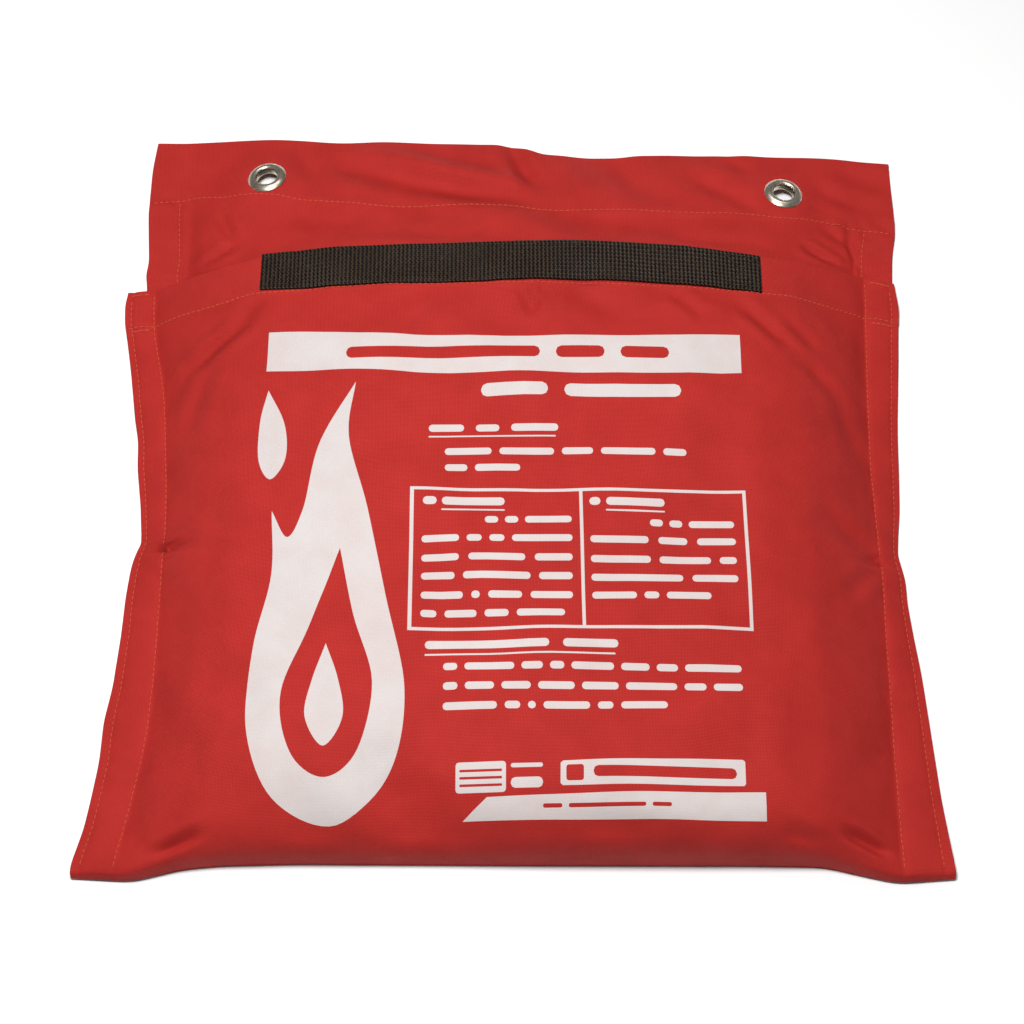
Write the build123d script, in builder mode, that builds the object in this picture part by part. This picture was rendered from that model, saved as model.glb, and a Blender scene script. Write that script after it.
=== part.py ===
from build123d import *
import os

os.makedirs("parts", exist_ok=True)

# Fire blanket folded into its storage bag, lying on its back.
# +X is the width, +Y runs from the bottom fold to the hanging header, +Z is up.
# The table is z = 0, and the middle of the bag's outline is x = y = 0.

# ---------------------------------------------------------------- dimensions
BAG_W = 457.0          # 18 in wide over the side seams
FLANGE = 22.0          # flat seam allowance outside the inner stitch row
Y_BOTTOM = -220.0      # bottom fold
Y_MOUTH = 130.0        # upper edge of the front panel's hem
Y_TOP = 220.0          # upper edge of the header
Y_HINGE = 40.0         # the front panel bends here when the mouth is opened
CLOTH = 1.0            # coated bag cloth
SHELL = 1.2            # arched front cloth
HEM_DEPTH = 27.0       # front hem, folded over twice
HEM_T = 2.4
TAPE_DEPTH = 20.0      # hook and loop tape behind the hem
FLAP_X = 165.0         # half width of the mouth that opens
WEB_W = 25.4           # 1 in webbing
WEB_L = 285.0
WEB_T = 1.5
WEB_FREE_X = 118.0     # half length of the webbing between its sewn ends
HEAD_HEM = 48.0        # header's folded top hem
GROMMET_SPACING = 304.8
GROMMET_DROP = 30.0    # grommet centre below the header's upper edge
GROMMET_BORE = 6.35
GROMMET_R = 11.5
BLANKET_HALF_W = 184.0
BLANKET_Y0 = -210.0
BLANKET_Y1 = 96.0

HALF = BAG_W / 2
SEAM_X = HALF - FLANGE
GAP = 0.1

# ------------------------------------------------ cross sections, as (x, z)
XS = [0.0, 30.0, 60.0, 100.0, 138.0, 165.0, 167.0, 185.0, 197.0, 204.0]
LENS = dict(zip(XS, [49.0, 48.6, 47.5, 42.5, 34.0, 25.0, 24.2, 14.5, 8.0, 4.0]))
FULL = dict(zip(XS, [50.7, 50.6, 50.3, 49.5, 46.5, 40.0, 39.2, 28.0, 15.0, 4.5]))


def at(profile, x):
    """Height of a profile at x, straight between its stations."""
    x = abs(x)
    for a, b in zip(XS, XS[1:]):
        if x <= b:
            return profile[a] + (profile[b] - profile[a]) * (x - a) / (b - a)
    return profile[XS[-1]]


def mix(t):
    """A profile between the full pouch (0) and the mouth (1)."""
    return {x: FULL[x] * (1 - t) + LENS[x] * t for x in XS}


def stations(x0, x1):
    """The profile's stations from x0 to x1, with both ends."""
    every = sorted({-x for x in XS} | set(XS))
    return [x0] + [x for x in every if x0 + 0.6 < x < x1 - 0.6] + [x1]


def band(height, x0, x1, low, high):
    """Closed outline of a cloth layer that follows height(x)."""
    xs = stations(x0, x1)
    return [(x, height(x) + high) for x in xs] + [
        (x, height(x) + low) for x in reversed(xs)
    ]


def dome(height, half, base, drop=0.0):
    """Closed outline under height(x), flat at the base."""
    xs = stations(-half, half)
    top = [(x, max(height(x) - drop, base + 0.8)) for x in xs]
    return [(-half, base)] + top + [(half, base)]


def plane_at(y):
    return Plane.XZ.offset(-y)


def mouth(x):
    return at(LENS, x)


HINGE_MIX = mix(0.55)


def flap_height(y):
    t = (y - Y_HINGE) / (Y_MOUTH - Y_HINGE)
    p = {x: HINGE_MIX[x] * (1 - t) + LENS[x] * t for x in XS}
    return lambda x: at(p, x)


# ------------------------------------------------ the bag's back, on the table
with BuildPart() as back_panel:
    with BuildSketch(Plane.XY):
        with BuildLine():
            Polyline(
                (-HALF, Y_BOTTOM + 1.6), (HALF, Y_BOTTOM + 1.6), (HALF, Y_MOUTH),
                (193.0, Y_MOUTH), (193.0, 99.6), (-193.0, 99.6),
                (-193.0, Y_MOUTH), (-HALF, Y_MOUTH), close=True,
            )
        make_face()
    extrude(amount=CLOTH)

# the bottom fold: the one length of cloth turns here from the back to the front
with BuildPart() as bottom_fold:
    with BuildSketch(Plane.YZ.offset(-SEAM_X)):
        with BuildLine():
            Polyline(
                (Y_BOTTOM + 1.5, 0.0), (Y_BOTTOM + 0.5, 0.2), (Y_BOTTOM, 1.2),
                (Y_BOTTOM, 4.0), (Y_BOTTOM + 1.5, 4.0), close=True,
            )
        make_face()
    extrude(amount=2 * SEAM_X)

# the pillow-shaped front cloth over the blanket, from the bottom fold to the bend
OUTER = [(-218.2, 0.34), (-215.0, 0.62), (-207.0, 0.86), (-190.0, 0.97), (-150.0, 1.0), (-40.0, 1.0)]
with BuildPart() as front_panel:
    for y, k in OUTER:
        with BuildSketch(plane_at(y)):
            with BuildLine():
                Polyline(*dome(lambda x: max(at(FULL, x) * k, 2.6), SEAM_X, 1.2), close=True)
            make_face()
    with BuildSketch(plane_at(Y_HINGE - 0.5)):
        with BuildLine():
            Polyline(*dome(lambda x: at(HINGE_MIX, x), SEAM_X, 1.2), close=True)
        make_face()
    loft(ruled=True)
    with BuildPart(mode=Mode.PRIVATE) as inside:
        for y, k in [(-216.6, 0.30), (-213.6, 0.58), (-205.8, 0.83), (-189.4, 0.965), (-150.0, 1.0), (-40.0, 1.0)]:
            with BuildSketch(plane_at(y)):
                with BuildLine():
                    Polyline(*dome(lambda x: max(at(FULL, x) * k, 2.6) - SHELL, SEAM_X - 2.0, 0.4), close=True)
                make_face()
        with BuildSketch(plane_at(Y_HINGE + 0.5)):
            with BuildLine():
                Polyline(*dome(lambda x: at(HINGE_MIX, x) - SHELL, SEAM_X - 2.0, 0.4), close=True)
            make_face()
        loft(ruled=True)
    add(inside.part, mode=Mode.SUBTRACT)

# ------------------------------------------------ side seams: front cloth sewn on the back
with BuildPart() as side_seam_left:
    with BuildSketch(Plane.XY.offset(CLOTH + GAP)):
        with Locations((-(HALF + SEAM_X + 0.3) / 2, (Y_BOTTOM + 1.6 + Y_MOUTH) / 2)):
            Rectangle(FLANGE - 0.3, Y_MOUTH - Y_BOTTOM - 1.6)
    extrude(amount=1.9)

with BuildPart() as side_seam_right:
    with BuildSketch(Plane.XY.offset(CLOTH + GAP)):
        with Locations(((HALF + SEAM_X + 0.3) / 2, (Y_BOTTOM + 1.6 + Y_MOUTH) / 2)):
            Rectangle(FLANGE - 0.3, Y_MOUTH - Y_BOTTOM - 1.6)
    extrude(amount=1.9)

# two rows of thread down each seam, 1 mm proud ridges of lockstitch
STITCH_Z = CLOTH + GAP + 1.9 + 0.05
with BuildPart() as seam_stitching_left:
    with BuildSketch(Plane.XY.offset(STITCH_Z)):
        with Locations((-(SEAM_X + 1.4), -45.0), (-(HALF - 4.5), -45.0)):
            Rectangle(1.0, 340.0)
    extrude(amount=0.6)

with BuildPart() as seam_stitching_right:
    with BuildSketch(Plane.XY.offset(STITCH_Z)):
        with Locations((SEAM_X + 1.4, -45.0), (HALF - 4.5, -45.0)):
            Rectangle(1.0, 340.0)
    extrude(amount=0.6)

# thick bar tacks where the mouth's ends take the strain
with BuildPart() as bar_tacks:
    with BuildSketch(Plane.XY.offset(STITCH_Z)):
        with Locations((-213.5, 127.6), (213.5, 127.6), (-213.5, 102.0), (213.5, 102.0)):
            Rectangle(8.0, 2.2)
    extrude(amount=1.0)

# the ends of the mouth, which stay sewn to the side seams
with BuildPart() as mouth_corner_left:
    for y in (Y_HINGE + 0.1, Y_MOUTH):
        with BuildSketch(plane_at(y)):
            with BuildLine():
                Polyline(*band(flap_height(y), -SEAM_X + 0.1, -FLAP_X - 0.5, -SHELL, 0.0), close=True)
            make_face()
    loft(ruled=True)

with BuildPart() as mouth_corner_right:
    for y in (Y_HINGE + 0.1, Y_MOUTH):
        with BuildSketch(plane_at(y)):
            with BuildLine():
                Polyline(*band(flap_height(y), FLAP_X + 0.5, SEAM_X - 0.1, -SHELL, 0.0), close=True)
            make_face()
    loft(ruled=True)

# ------------------------------------------------ the closure: back cloth raised to meet the hem
FACE_LOW = -6.4        # underside of the back cloth below the hem's top surface
with BuildPart() as closure_wall:
    with BuildSketch(plane_at(101.0)):
        with BuildLine():
            Polyline(*dome(lambda x: mouth(x) + FACE_LOW, 186.0, 0.0), close=True)
        make_face()
    extrude(amount=CLOTH)

with BuildPart() as closure_facing:
    for y in (101.2, Y_MOUTH):
        with BuildSketch(plane_at(y)):
            with BuildLine():
                Polyline(*band(mouth, -180.0, 180.0, FACE_LOW, FACE_LOW + CLOTH), close=True)
            make_face()
    loft(ruled=True)

with BuildPart() as loop_tape:
    for y in (108.0, 108.0 + TAPE_DEPTH):
        with BuildSketch(plane_at(y)):
            with BuildLine():
                Polyline(*band(mouth, -150.0, 150.0, FACE_LOW + CLOTH + 0.05, FACE_LOW + CLOTH + 1.15), close=True)
            make_face()
    loft(ruled=True)

# ------------------------------------------------ the part of the front that lifts to open the mouth
HOOK_LOW = FACE_LOW + CLOTH + 1.45
with BuildPart() as hook_tape:
    for y in (108.0, 108.0 + TAPE_DEPTH):
        with BuildSketch(plane_at(y)):
            with BuildLine():
                Polyline(*band(mouth, -150.0, 150.0, HOOK_LOW, HOOK_LOW + 1.1), close=True)
            make_face()
    loft(ruled=True)

with BuildPart() as mouth_panel:
    for y in (Y_HINGE + 0.5, Y_MOUTH - HEM_DEPTH - 0.2):
        with BuildSketch(plane_at(y)):
            with BuildLine():
                Polyline(*band(flap_height(y), -FLAP_X, FLAP_X, -SHELL, 0.0), close=True)
            make_face()
    loft(ruled=True)

with BuildPart() as mouth_hem:
    for y in (Y_MOUTH - HEM_DEPTH, Y_MOUTH):
        with BuildSketch(plane_at(y)):
            with BuildLine():
                Polyline(*band(mouth, -FLAP_X, FLAP_X, HOOK_LOW + 1.15, HOOK_LOW + 1.15 + HEM_T), close=True)
            make_face()
    loft(ruled=True)

HEM_TOP = HOOK_LOW + 1.15 + HEM_T
with BuildPart() as hem_stitching:
    for y in (Y_MOUTH - HEM_DEPTH + 0.4, Y_MOUTH - HEM_DEPTH + 1.2):
        with BuildSketch(plane_at(y)):
            with BuildLine():
                Polyline(*band(mouth, -FLAP_X + 1, FLAP_X - 1, HEM_TOP + 0.03, HEM_TOP + 0.45), close=True)
            make_face()
    loft(ruled=True)

# ------------------------------------------------ black webbing pull strap over the hem
WEB_Y0 = Y_MOUTH - 0.2 - WEB_W
with BuildPart() as strap_end_left:
    for y in (WEB_Y0 + 0.2, WEB_Y0 + WEB_W):
        with BuildSketch(plane_at(y)):
            with BuildLine():
                Polyline(*band(mouth, -WEB_L / 2, -WEB_FREE_X - 0.4, HEM_TOP + 0.5, HEM_TOP + 0.5 + WEB_T), close=True)
            make_face()
    loft(ruled=True)

with BuildPart() as strap_end_right:
    for y in (WEB_Y0 + 0.2, WEB_Y0 + WEB_W):
        with BuildSketch(plane_at(y)):
            with BuildLine():
                Polyline(*band(mouth, WEB_FREE_X + 0.4, WEB_L / 2, HEM_TOP + 0.5, HEM_TOP + 0.5 + WEB_T), close=True)
            make_face()
    loft(ruled=True)

with BuildPart() as pull_strap:
    for y in (WEB_Y0 + 0.2, WEB_Y0 + WEB_W):
        with BuildSketch(plane_at(y)):
            with BuildLine():
                Polyline(*band(mouth, -WEB_FREE_X, WEB_FREE_X, HEM_TOP + 0.5, HEM_TOP + 0.5 + WEB_T), close=True)
            make_face()
    loft(ruled=True)

# box stitching that holds the strap's ends
with BuildPart() as strap_stitching:
    for side in (-1, 1):
        with BuildSketch(plane_at(WEB_Y0 + 4.0)):
            with BuildLine():
                Polyline(*band(mouth, *sorted((side * 137.0, side * 122.0)), HEM_TOP + 0.55 + WEB_T, HEM_TOP + 1.0 + WEB_T), close=True)
            make_face()
        extrude(amount=0.8)
        with BuildSketch(plane_at(WEB_Y0 + 22.0)):
            with BuildLine():
                Polyline(*band(mouth, *sorted((side * 137.0, side * 122.0)), HEM_TOP + 0.55 + WEB_T, HEM_TOP + 1.0 + WEB_T), close=True)
            make_face()
        extrude(amount=0.8)

# ------------------------------------------------ the header, which hangs the bag from two grommets
HEAD_Y0 = Y_MOUTH + 1.0
HEAD_XS = sorted({-x for x in XS} | set(XS) | {HALF, -HALF})


def head_start(x):
    return 2.2 if abs(x) >= 204.0 else max(mouth(x) + FACE_LOW + CLOTH, 2.2)


def head_end(x):
    return 7.0 - 4.5 * (x / HALF) ** 2


def head_z(x, y):
    t = (y - HEAD_Y0) / (Y_TOP - HEAD_Y0)
    return head_start(x) * (1 - t) + head_end(x) * t


def head_band(y, low, high, x0=-HALF, x1=HALF):
    xs = [x0] + [x for x in HEAD_XS if x0 + 0.6 < x < x1 - 0.6] + [x1]
    return [(x, head_z(x, y) + high) for x in xs] + [
        (x, head_z(x, y) + low) for x in reversed(xs)
    ]


GX = GROMMET_SPACING / 2
GY = Y_TOP - GROMMET_DROP
H0 = Y_TOP - HEAD_HEM


def grommet_plane(side):
    """Square to the header at a grommet, between its two layers of cloth."""
    x, d = side * GX, 6.0
    sx = (head_z(x + d, GY) - head_z(x - d, GY)) / (2 * d)
    sy = (head_z(x, GY + d) - head_z(x, GY - d)) / (2 * d)
    n = Vector(-sx, -sy, 1).normalized()
    return Plane(origin=(x, GY, head_z(x, GY) + GAP / 2), x_dir=Vector(1, 0, sx), z_dir=n)


LEFT, RIGHT = grommet_plane(-1), grommet_plane(1)
CUT_R = GROMMET_R + 1.2

with BuildPart() as header_panel:
    for y in (HEAD_Y0, Y_TOP):
        with BuildSketch(plane_at(y)):
            with BuildLine():
                Polyline(*head_band(y, -CLOTH, 0.0), close=True)
            make_face()
    loft(ruled=True)
    with BuildSketch(LEFT.offset(-6.0), RIGHT.offset(-6.0)):
        Circle(CUT_R)
    extrude(amount=12.0, mode=Mode.SUBTRACT)
    with BuildSketch(LEFT.offset(-GAP / 2 - CLOTH), RIGHT.offset(-GAP / 2 - CLOTH)):
        Circle(CUT_R + 0.004)
        Circle(GROMMET_BORE + 0.9, mode=Mode.SUBTRACT)
    extrude(amount=CLOTH)

with BuildPart() as header_hem:
    for y in (H0, Y_TOP):
        with BuildSketch(plane_at(y)):
            with BuildLine():
                Polyline(*head_band(y, GAP, GAP + SHELL), close=True)
            make_face()
    loft(ruled=True)
    with BuildSketch(LEFT.offset(-6.0), RIGHT.offset(-6.0)):
        Circle(CUT_R)
    extrude(amount=12.0, mode=Mode.SUBTRACT)
    with BuildSketch(LEFT.offset(GAP / 2), RIGHT.offset(GAP / 2)):
        Circle(CUT_R + 0.004)
        Circle(GROMMET_BORE + 0.9, mode=Mode.SUBTRACT)
    extrude(amount=SHELL)

with BuildPart() as header_side_hem_left:
    for y in (HEAD_Y0, H0 - 0.3):
        with BuildSketch(plane_at(y)):
            with BuildLine():
                Polyline(*head_band(y, GAP, GAP + CLOTH, -HALF, -SEAM_X - 0.2), close=True)
            make_face()
    loft(ruled=True)

with BuildPart() as header_side_hem_right:
    for y in (HEAD_Y0, H0 - 0.3):
        with BuildSketch(plane_at(y)):
            with BuildLine():
                Polyline(*head_band(y, GAP, GAP + CLOTH, SEAM_X + 0.2, HALF), close=True)
            make_face()
    loft(ruled=True)

with BuildPart() as header_stitching:
    for y in (H0 + 1.0, H0 + 1.9):
        with BuildSketch(plane_at(y)):
            with BuildLine():
                Polyline(*head_band(y, GAP + SHELL + 0.03, GAP + SHELL + 0.45, -HALF + 3, HALF - 3), close=True)
            make_face()
    loft(ruled=True)

# rolled brass-core grommets, nickel plated: a flanged barrel from above, a washer below
FACE_UP = GAP / 2 + SHELL + 0.05
FACE_DOWN = -GAP / 2 - CLOTH - 0.05
with BuildPart() as grommet_left:
    with BuildSketch(LEFT.offset(FACE_UP)):
        Circle(GROMMET_R)
        Circle(GROMMET_BORE, mode=Mode.SUBTRACT)
    extrude(amount=1.8)
    fillet(grommet_left.edges().filter_by(GeomType.CIRCLE).sort_by(SortBy.DISTANCE, reverse=False).filter_by(lambda e: abs((e.center() - LEFT.origin).dot(LEFT.z_dir) - FACE_UP - 1.8) < 1e-3), 0.75)
    with BuildSketch(LEFT.offset(FACE_DOWN - 0.9)):
        Circle(GROMMET_BORE + 0.8)
        Circle(GROMMET_BORE, mode=Mode.SUBTRACT)
    extrude(amount=FACE_UP - FACE_DOWN + 1.0)

with BuildPart() as grommet_right:
    with BuildSketch(RIGHT.offset(FACE_UP)):
        Circle(GROMMET_R)
        Circle(GROMMET_BORE, mode=Mode.SUBTRACT)
    extrude(amount=1.8)
    fillet(grommet_right.edges().filter_by(GeomType.CIRCLE).filter_by(lambda e: abs((e.center() - RIGHT.origin).dot(RIGHT.z_dir) - FACE_UP - 1.8) < 1e-3), 0.75)
    with BuildSketch(RIGHT.offset(FACE_DOWN - 0.9)):
        Circle(GROMMET_BORE + 0.8)
        Circle(GROMMET_BORE, mode=Mode.SUBTRACT)
    extrude(amount=FACE_UP - FACE_DOWN + 1.0)

with BuildPart() as grommet_washer_left:
    with BuildSketch(LEFT.offset(FACE_DOWN - 0.9)):
        Circle(GROMMET_R - 0.5)
        Circle(GROMMET_BORE + 0.85, mode=Mode.SUBTRACT)
    extrude(amount=0.9)

with BuildPart() as grommet_washer_right:
    with BuildSketch(RIGHT.offset(FACE_DOWN - 0.9)):
        Circle(GROMMET_R - 0.5)
        Circle(GROMMET_BORE + 0.85, mode=Mode.SUBTRACT)
    extrude(amount=0.9)

# ------------------------------------------------ the folded wool blanket in the pouch
with BuildPart() as folded_blanket:
    for y, k in [(BLANKET_Y0, 0.72), (BLANKET_Y0 + 8, 0.93), (BLANKET_Y0 + 20, 1.0), (BLANKET_Y1 - 12, 1.0), (BLANKET_Y1, 0.9)]:
        with BuildSketch(plane_at(y)):
            with BuildLine():
                Polyline(*dome(lambda x: (mouth(x) - 8.0) * k, BLANKET_HALF_W, 1.6), close=True)
            make_face()
    loft(ruled=True)

# ---------------------------------------------------------------- export
PIECES = {
    "back_panel": back_panel, "bottom_fold": bottom_fold, "front_panel": front_panel,
    "side_seam_left": side_seam_left, "side_seam_right": side_seam_right,
    "seam_stitching_left": seam_stitching_left, "seam_stitching_right": seam_stitching_right,
    "bar_tacks": bar_tacks, "mouth_corner_left": mouth_corner_left, "mouth_corner_right": mouth_corner_right,
    "closure_wall": closure_wall, "closure_facing": closure_facing, "loop_tape": loop_tape,
    "hook_tape": hook_tape, "mouth_panel": mouth_panel, "mouth_hem": mouth_hem, "hem_stitching": hem_stitching,
    "strap_end_left": strap_end_left, "strap_end_right": strap_end_right, "pull_strap": pull_strap,
    "strap_stitching": strap_stitching, "header_panel": header_panel, "header_hem": header_hem,
    "header_side_hem_left": header_side_hem_left, "header_side_hem_right": header_side_hem_right,
    "header_stitching": header_stitching, "grommet_left": grommet_left, "grommet_right": grommet_right,
    "grommet_washer_left": grommet_washer_left, "grommet_washer_right": grommet_washer_right,
    "folded_blanket": folded_blanket,
}
for name, piece in PIECES.items():
    piece.part.label = name
    export_step(piece.part, f"parts/{name}.step")
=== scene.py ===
import bpy, math
import numpy as np
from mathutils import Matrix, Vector
from mathutils.geometry import delaunay_2d_cdt


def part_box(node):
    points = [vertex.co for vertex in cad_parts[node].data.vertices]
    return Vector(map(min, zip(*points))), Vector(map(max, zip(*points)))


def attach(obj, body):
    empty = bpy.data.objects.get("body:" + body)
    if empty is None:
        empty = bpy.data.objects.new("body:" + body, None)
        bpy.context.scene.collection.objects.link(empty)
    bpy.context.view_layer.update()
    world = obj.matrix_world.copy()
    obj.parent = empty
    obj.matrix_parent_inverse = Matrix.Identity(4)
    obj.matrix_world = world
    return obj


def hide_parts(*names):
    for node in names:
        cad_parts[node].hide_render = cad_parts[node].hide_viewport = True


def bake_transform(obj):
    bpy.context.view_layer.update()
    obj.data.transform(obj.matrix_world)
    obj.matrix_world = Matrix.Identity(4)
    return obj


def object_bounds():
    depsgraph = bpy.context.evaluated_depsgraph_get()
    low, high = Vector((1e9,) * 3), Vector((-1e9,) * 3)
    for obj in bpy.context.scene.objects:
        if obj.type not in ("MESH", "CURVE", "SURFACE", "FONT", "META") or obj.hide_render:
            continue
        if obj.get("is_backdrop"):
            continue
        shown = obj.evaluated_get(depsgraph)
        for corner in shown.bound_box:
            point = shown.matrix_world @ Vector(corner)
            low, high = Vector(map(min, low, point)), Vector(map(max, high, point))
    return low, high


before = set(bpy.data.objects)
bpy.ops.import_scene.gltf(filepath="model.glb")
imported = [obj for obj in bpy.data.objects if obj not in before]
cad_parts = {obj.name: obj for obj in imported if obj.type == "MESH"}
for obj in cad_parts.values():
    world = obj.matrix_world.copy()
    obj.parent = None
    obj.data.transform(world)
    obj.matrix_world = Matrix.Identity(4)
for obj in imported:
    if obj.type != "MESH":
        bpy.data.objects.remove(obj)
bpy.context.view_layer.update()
MM = 0.001
rng = np.random.default_rng(11)

# nominal plan of the bag, in mm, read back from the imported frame
lo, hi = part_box("back_panel")
HALF = round(hi[0] / MM, 2)
Y_BOTTOM = round(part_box("bottom_fold")[0][1] / MM, 2)
Y_MOUTH = round(hi[1] / MM, 2)
Y_TOP = round(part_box("header_panel")[1][1] / MM, 2)
SEAM = HALF - 22.0
T = 0.6                     # cloth
R_HEM = 0.72                # radius of a folded edge


# ------------------------------------------------------------------ small maths
def sstep(t):
    t = np.clip(t, 0, 1)
    return t * t * (3 - 2 * t)


def table(xs, ys, sigma, step=0.5):
    """A smooth curve through a short table."""
    xs, ys = np.array(xs, float), np.array(ys, float)
    o = np.argsort(xs)
    xs, ys = xs[o], ys[o]
    g = np.arange(xs[0] - 6 * sigma, xs[-1] + 6 * sigma + step, step)
    v = np.interp(g, xs, ys)
    n = max(1, int(3 * sigma / step))
    k = np.exp(-0.5 * (np.arange(-n, n + 1) * step / sigma) ** 2)
    v = np.convolve(np.pad(v, n, mode="edge"), k / k.sum(), "valid")
    return lambda x: np.interp(x, g, v)


def norm(a):
    return a / np.maximum(np.linalg.norm(a, axis=-1, keepdims=True), 1e-12)


# ------------------------------------------------------------------ the bag's plan, pulled in by its filling
X_L = table([130, 122, 107, 70, 41, 28, 10, -12, -30, -35, -42, -51, -68, -90, -120, -140, -162, -178, -195, -214, -226],
            [-229.5, -231, -230.4, -225, -221, -218.4, -217.6, -214.5, -213, -212, -215.6, -217.6, -219.4, -220.4, -223, -226.6, -227.4, -229.9, -232.6, -237.6, -238], 2.6)
X_R = table([130, 114, 80, 54, 41, 28, 6, -16, -30, -43, -50, -58, -72, -92, -112, -129, -157, -179, -202, -219, -226],
            [217, 219, 217, 215, 213.9, 213.2, 212.4, 211.3, 209.6, 208.4, 210.2, 211.8, 212, 214.2, 216.8, 218.3, 220.6, 222.6, 225.2, 227, 227], 2.6)
X_LS = table([130, 98, 53, 3, -30, -64, -93, -112, -139, -162, -184, -208, -225],
             [-213.5, -212, -203, -199, -197.4, -198.0, -198.2, -198.2, -199.2, -201.8, -206.2, -212.4, -214.6], 9)
X_RS = table([130, 100, 53, 9, -30, -50, -80, -115, -141, -166, -192, -215],
             [199, 197.6, 195.6, 194.6, 195.6, 197.0, 197.0, 196.8, 196.8, 196.8, 197.0, 197.4], 9)
Y_EDGE = table([-240, -205, -180, -160, -120, 0, 120, 158, 176, 196, 228], [-6.5, -8.5, -2.0, 0, 1.0, 0.3, 0, -0.6, -5.0, -9.5, -7], 5)
Y_LIP = table([-232, -214, -190, -167, -149, -60, 0, 60, 135, 170, 198, 220], [-7.5, -6.0, -4.0, -2.0, 0, 0.4, 0, 0.3, 0.4, 2.2, 3.2, -2], 6)

XS = np.array([0.0, 30, 60, 100, 138, 165, 185, 197, 204, 207]) / 207.0
_lens = table(np.r_[-XS[::-1], XS[1:]] * 100, np.r_[[0, 3.2, 7.6, 14.2, 24.0, 33.0, 41.6, 46.0, 47.8], [48.2], [47.8, 46.0, 41.6, 33.0, 24.0, 14.2, 7.6, 3.2, 0]], 1.3, 0.1)
_full = table(np.r_[-XS[::-1], XS[1:]] * 100, np.r_[[0, 4.6, 11.4, 21.0, 33.6, 42.2, 47.4, 49.2, 50.0], [50.2], [50.0, 49.2, 47.4, 42.2, 33.6, 21.0, 11.4, 4.6, 0]], 1.5, 0.1)


def full_arch(t):
    """Height above the seam, across the full pouch: t is 0 in the middle and 1 at the seam."""
    return 50.2 * (_full(100 * t) - _full(100.0)) / (_full(0.0) - _full(100.0))


def lens_arch(t):
    return 48.2 * (_lens(100 * t) - _lens(100.0)) / (_lens(0.0) - _lens(100.0))


def bottom(d):
    """How full the pouch is at a distance d from its bottom fold, from 0 to 1."""
    return np.sqrt(1 - (1 - np.clip(d / 70.0, 0, 1)) ** 4.5)


SEAM_Z = table([-240, -205, -170, -90, -20, 40, 90, 130], [9.6, 8.8, 7.4, 8.8, 9.0, 6.6, 3.8, 3.3], 10)
KNEE = table([-240, -220, -219.5, -218.8, -217.6, -215.6, -212, 200], [0.0, 0.0, 0.46, 0.72, 0.90, 0.98, 1.0, 1.0], 0.3, 0.1)
SHOULDER = table([-230, -200, -172, -130, -92, -62, -42, -22, 10, 60, 100, 150, 182, 200, 230], [1.15, 1.3, 1.7, 1.75, 2.0, 2.9, 2.9, 1.9, 1.2, 1.0, 0.9, 1.0, 1.35, 1.3, 1.1], 9)
EDGE_Z = table([-240, -212, -196, -180, 95, 112, 140], [8.0, 6.6, 3.8, 1.8, 1.8, 3.3, 3.3], 5)

# creases: from, to, width, depth (mm); a valley has a soft ridge on each side
CREASES = [
    (-152, 92, -190, 62, 4.6, -4.2), (-148, 99, -182, 84, 3.6, -1.8), (-176, 66, -186, 30, 5.0, -2.0),
    (124, 95, 148, 73, 4.2, -1.9), (150, 88, 166, 74, 3.6, -1.4), (158, 64, 176, 48, 4.4, -1.4), (176, 50, 188, 10, 5.0, -1.2),
    (-62, -184, -56, -212, 15.0, -2.8),
    (-222, -38, -188, -43, 2.3, -4.6), (-192, -43, -164, -54, 5.0, -1.3), (-216, -46, -200, -60, 3.0, -1.5),
    (213, -46, 184, -52, 2.8, -2.4), (196, -46, 166, -30, 6.0, -2.0), (192, -56, 176, -76, 4.0, -1.6),
    (-168, -209, -191, -218, 3.2, -3.4),
    (168, -208, 190, -216, 3.2, -3.8), (136, -210, 154, -216, 4.0, -2.2),
    (0, 100, 6, 84, 3.6, -2.0), (12, 100, 6, 88, 3.0, -1.4), (30, 101, 52, 84, 6.0, -1.2), (-60, 100, -80, 86, 6.0, -1.0), (84, 101, 100, 86, 4.0, -1.2),
    (26, -208, 92, -213, 5.0, -1.0),
    (-228, 14, -202, 20, 2.6, -1.5), (-229, -84, -204, -88, 2.6, -1.3), (-230, -108, -206, -112, 2.6, -1.2), (-234, -160, -210, -168, 3.0, -1.6), (218, -10, 200, -6, 2.6, -1.2), (222, -120, 202, -126, 3.0, -1.3),
    (-230, 62, -206, 66, 3.0, -1.2), (219, 60, 198, 52, 2.8, -1.4), (222, -176, 202, -182, 3.0, -1.4), (218, -80, 202, -76, 2.6, -1.0), (-222, -8, -204, -4, 2.4, -1.2),
]
HEAD_CREASES = [
    (-118, 206, -14, 178, 7.5, -3.0), (-86, 214, 0, 190, 6.0, 2.4), (-8, 224, 6, 190, 5.0, -3.2), (14, 216, 40, 180, 11.0, 2.0), (-60, 190, 20, 168, 7.0, -1.6),
    (-178, 172, -170, 154, 3.6, -2.0), (-168, 150, -188, 138, 3.2, -2.2), (-206, 196, -203, 150, 2.8, -1.0),
    (164, 148, 188, 137, 3.0, -2.8), (178, 164, 204, 150, 3.4, -1.6), (176, 190, 216, 176, 4.6, -1.8), (186, 206, 218, 196, 5.0, -1.4), (192, 168, 198, 138, 2.6, -1.8),
    (-134, 166, -60, 152, 7.0, -1.8), (40, 160, 120, 150, 8.0, -2.0), (-20, 162, 30, 142, 9.0, 1.6), (-110, 150, -30, 146, 5.0, -1.0), (84, 146, 150, 142, 5.0, -1.4),
    (-216, 190, -196, 184, 3.4, -2.0), (206, 172, 220, 164, 3.4, -2.0), (96, 198, 136, 176, 6.0, -2.0), (-132, 208, -108, 180, 6.0, -1.8), (54, 214, 70, 184, 7.0, -1.6), (120, 214, 140, 200, 5.0, -1.4),
]
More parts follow.
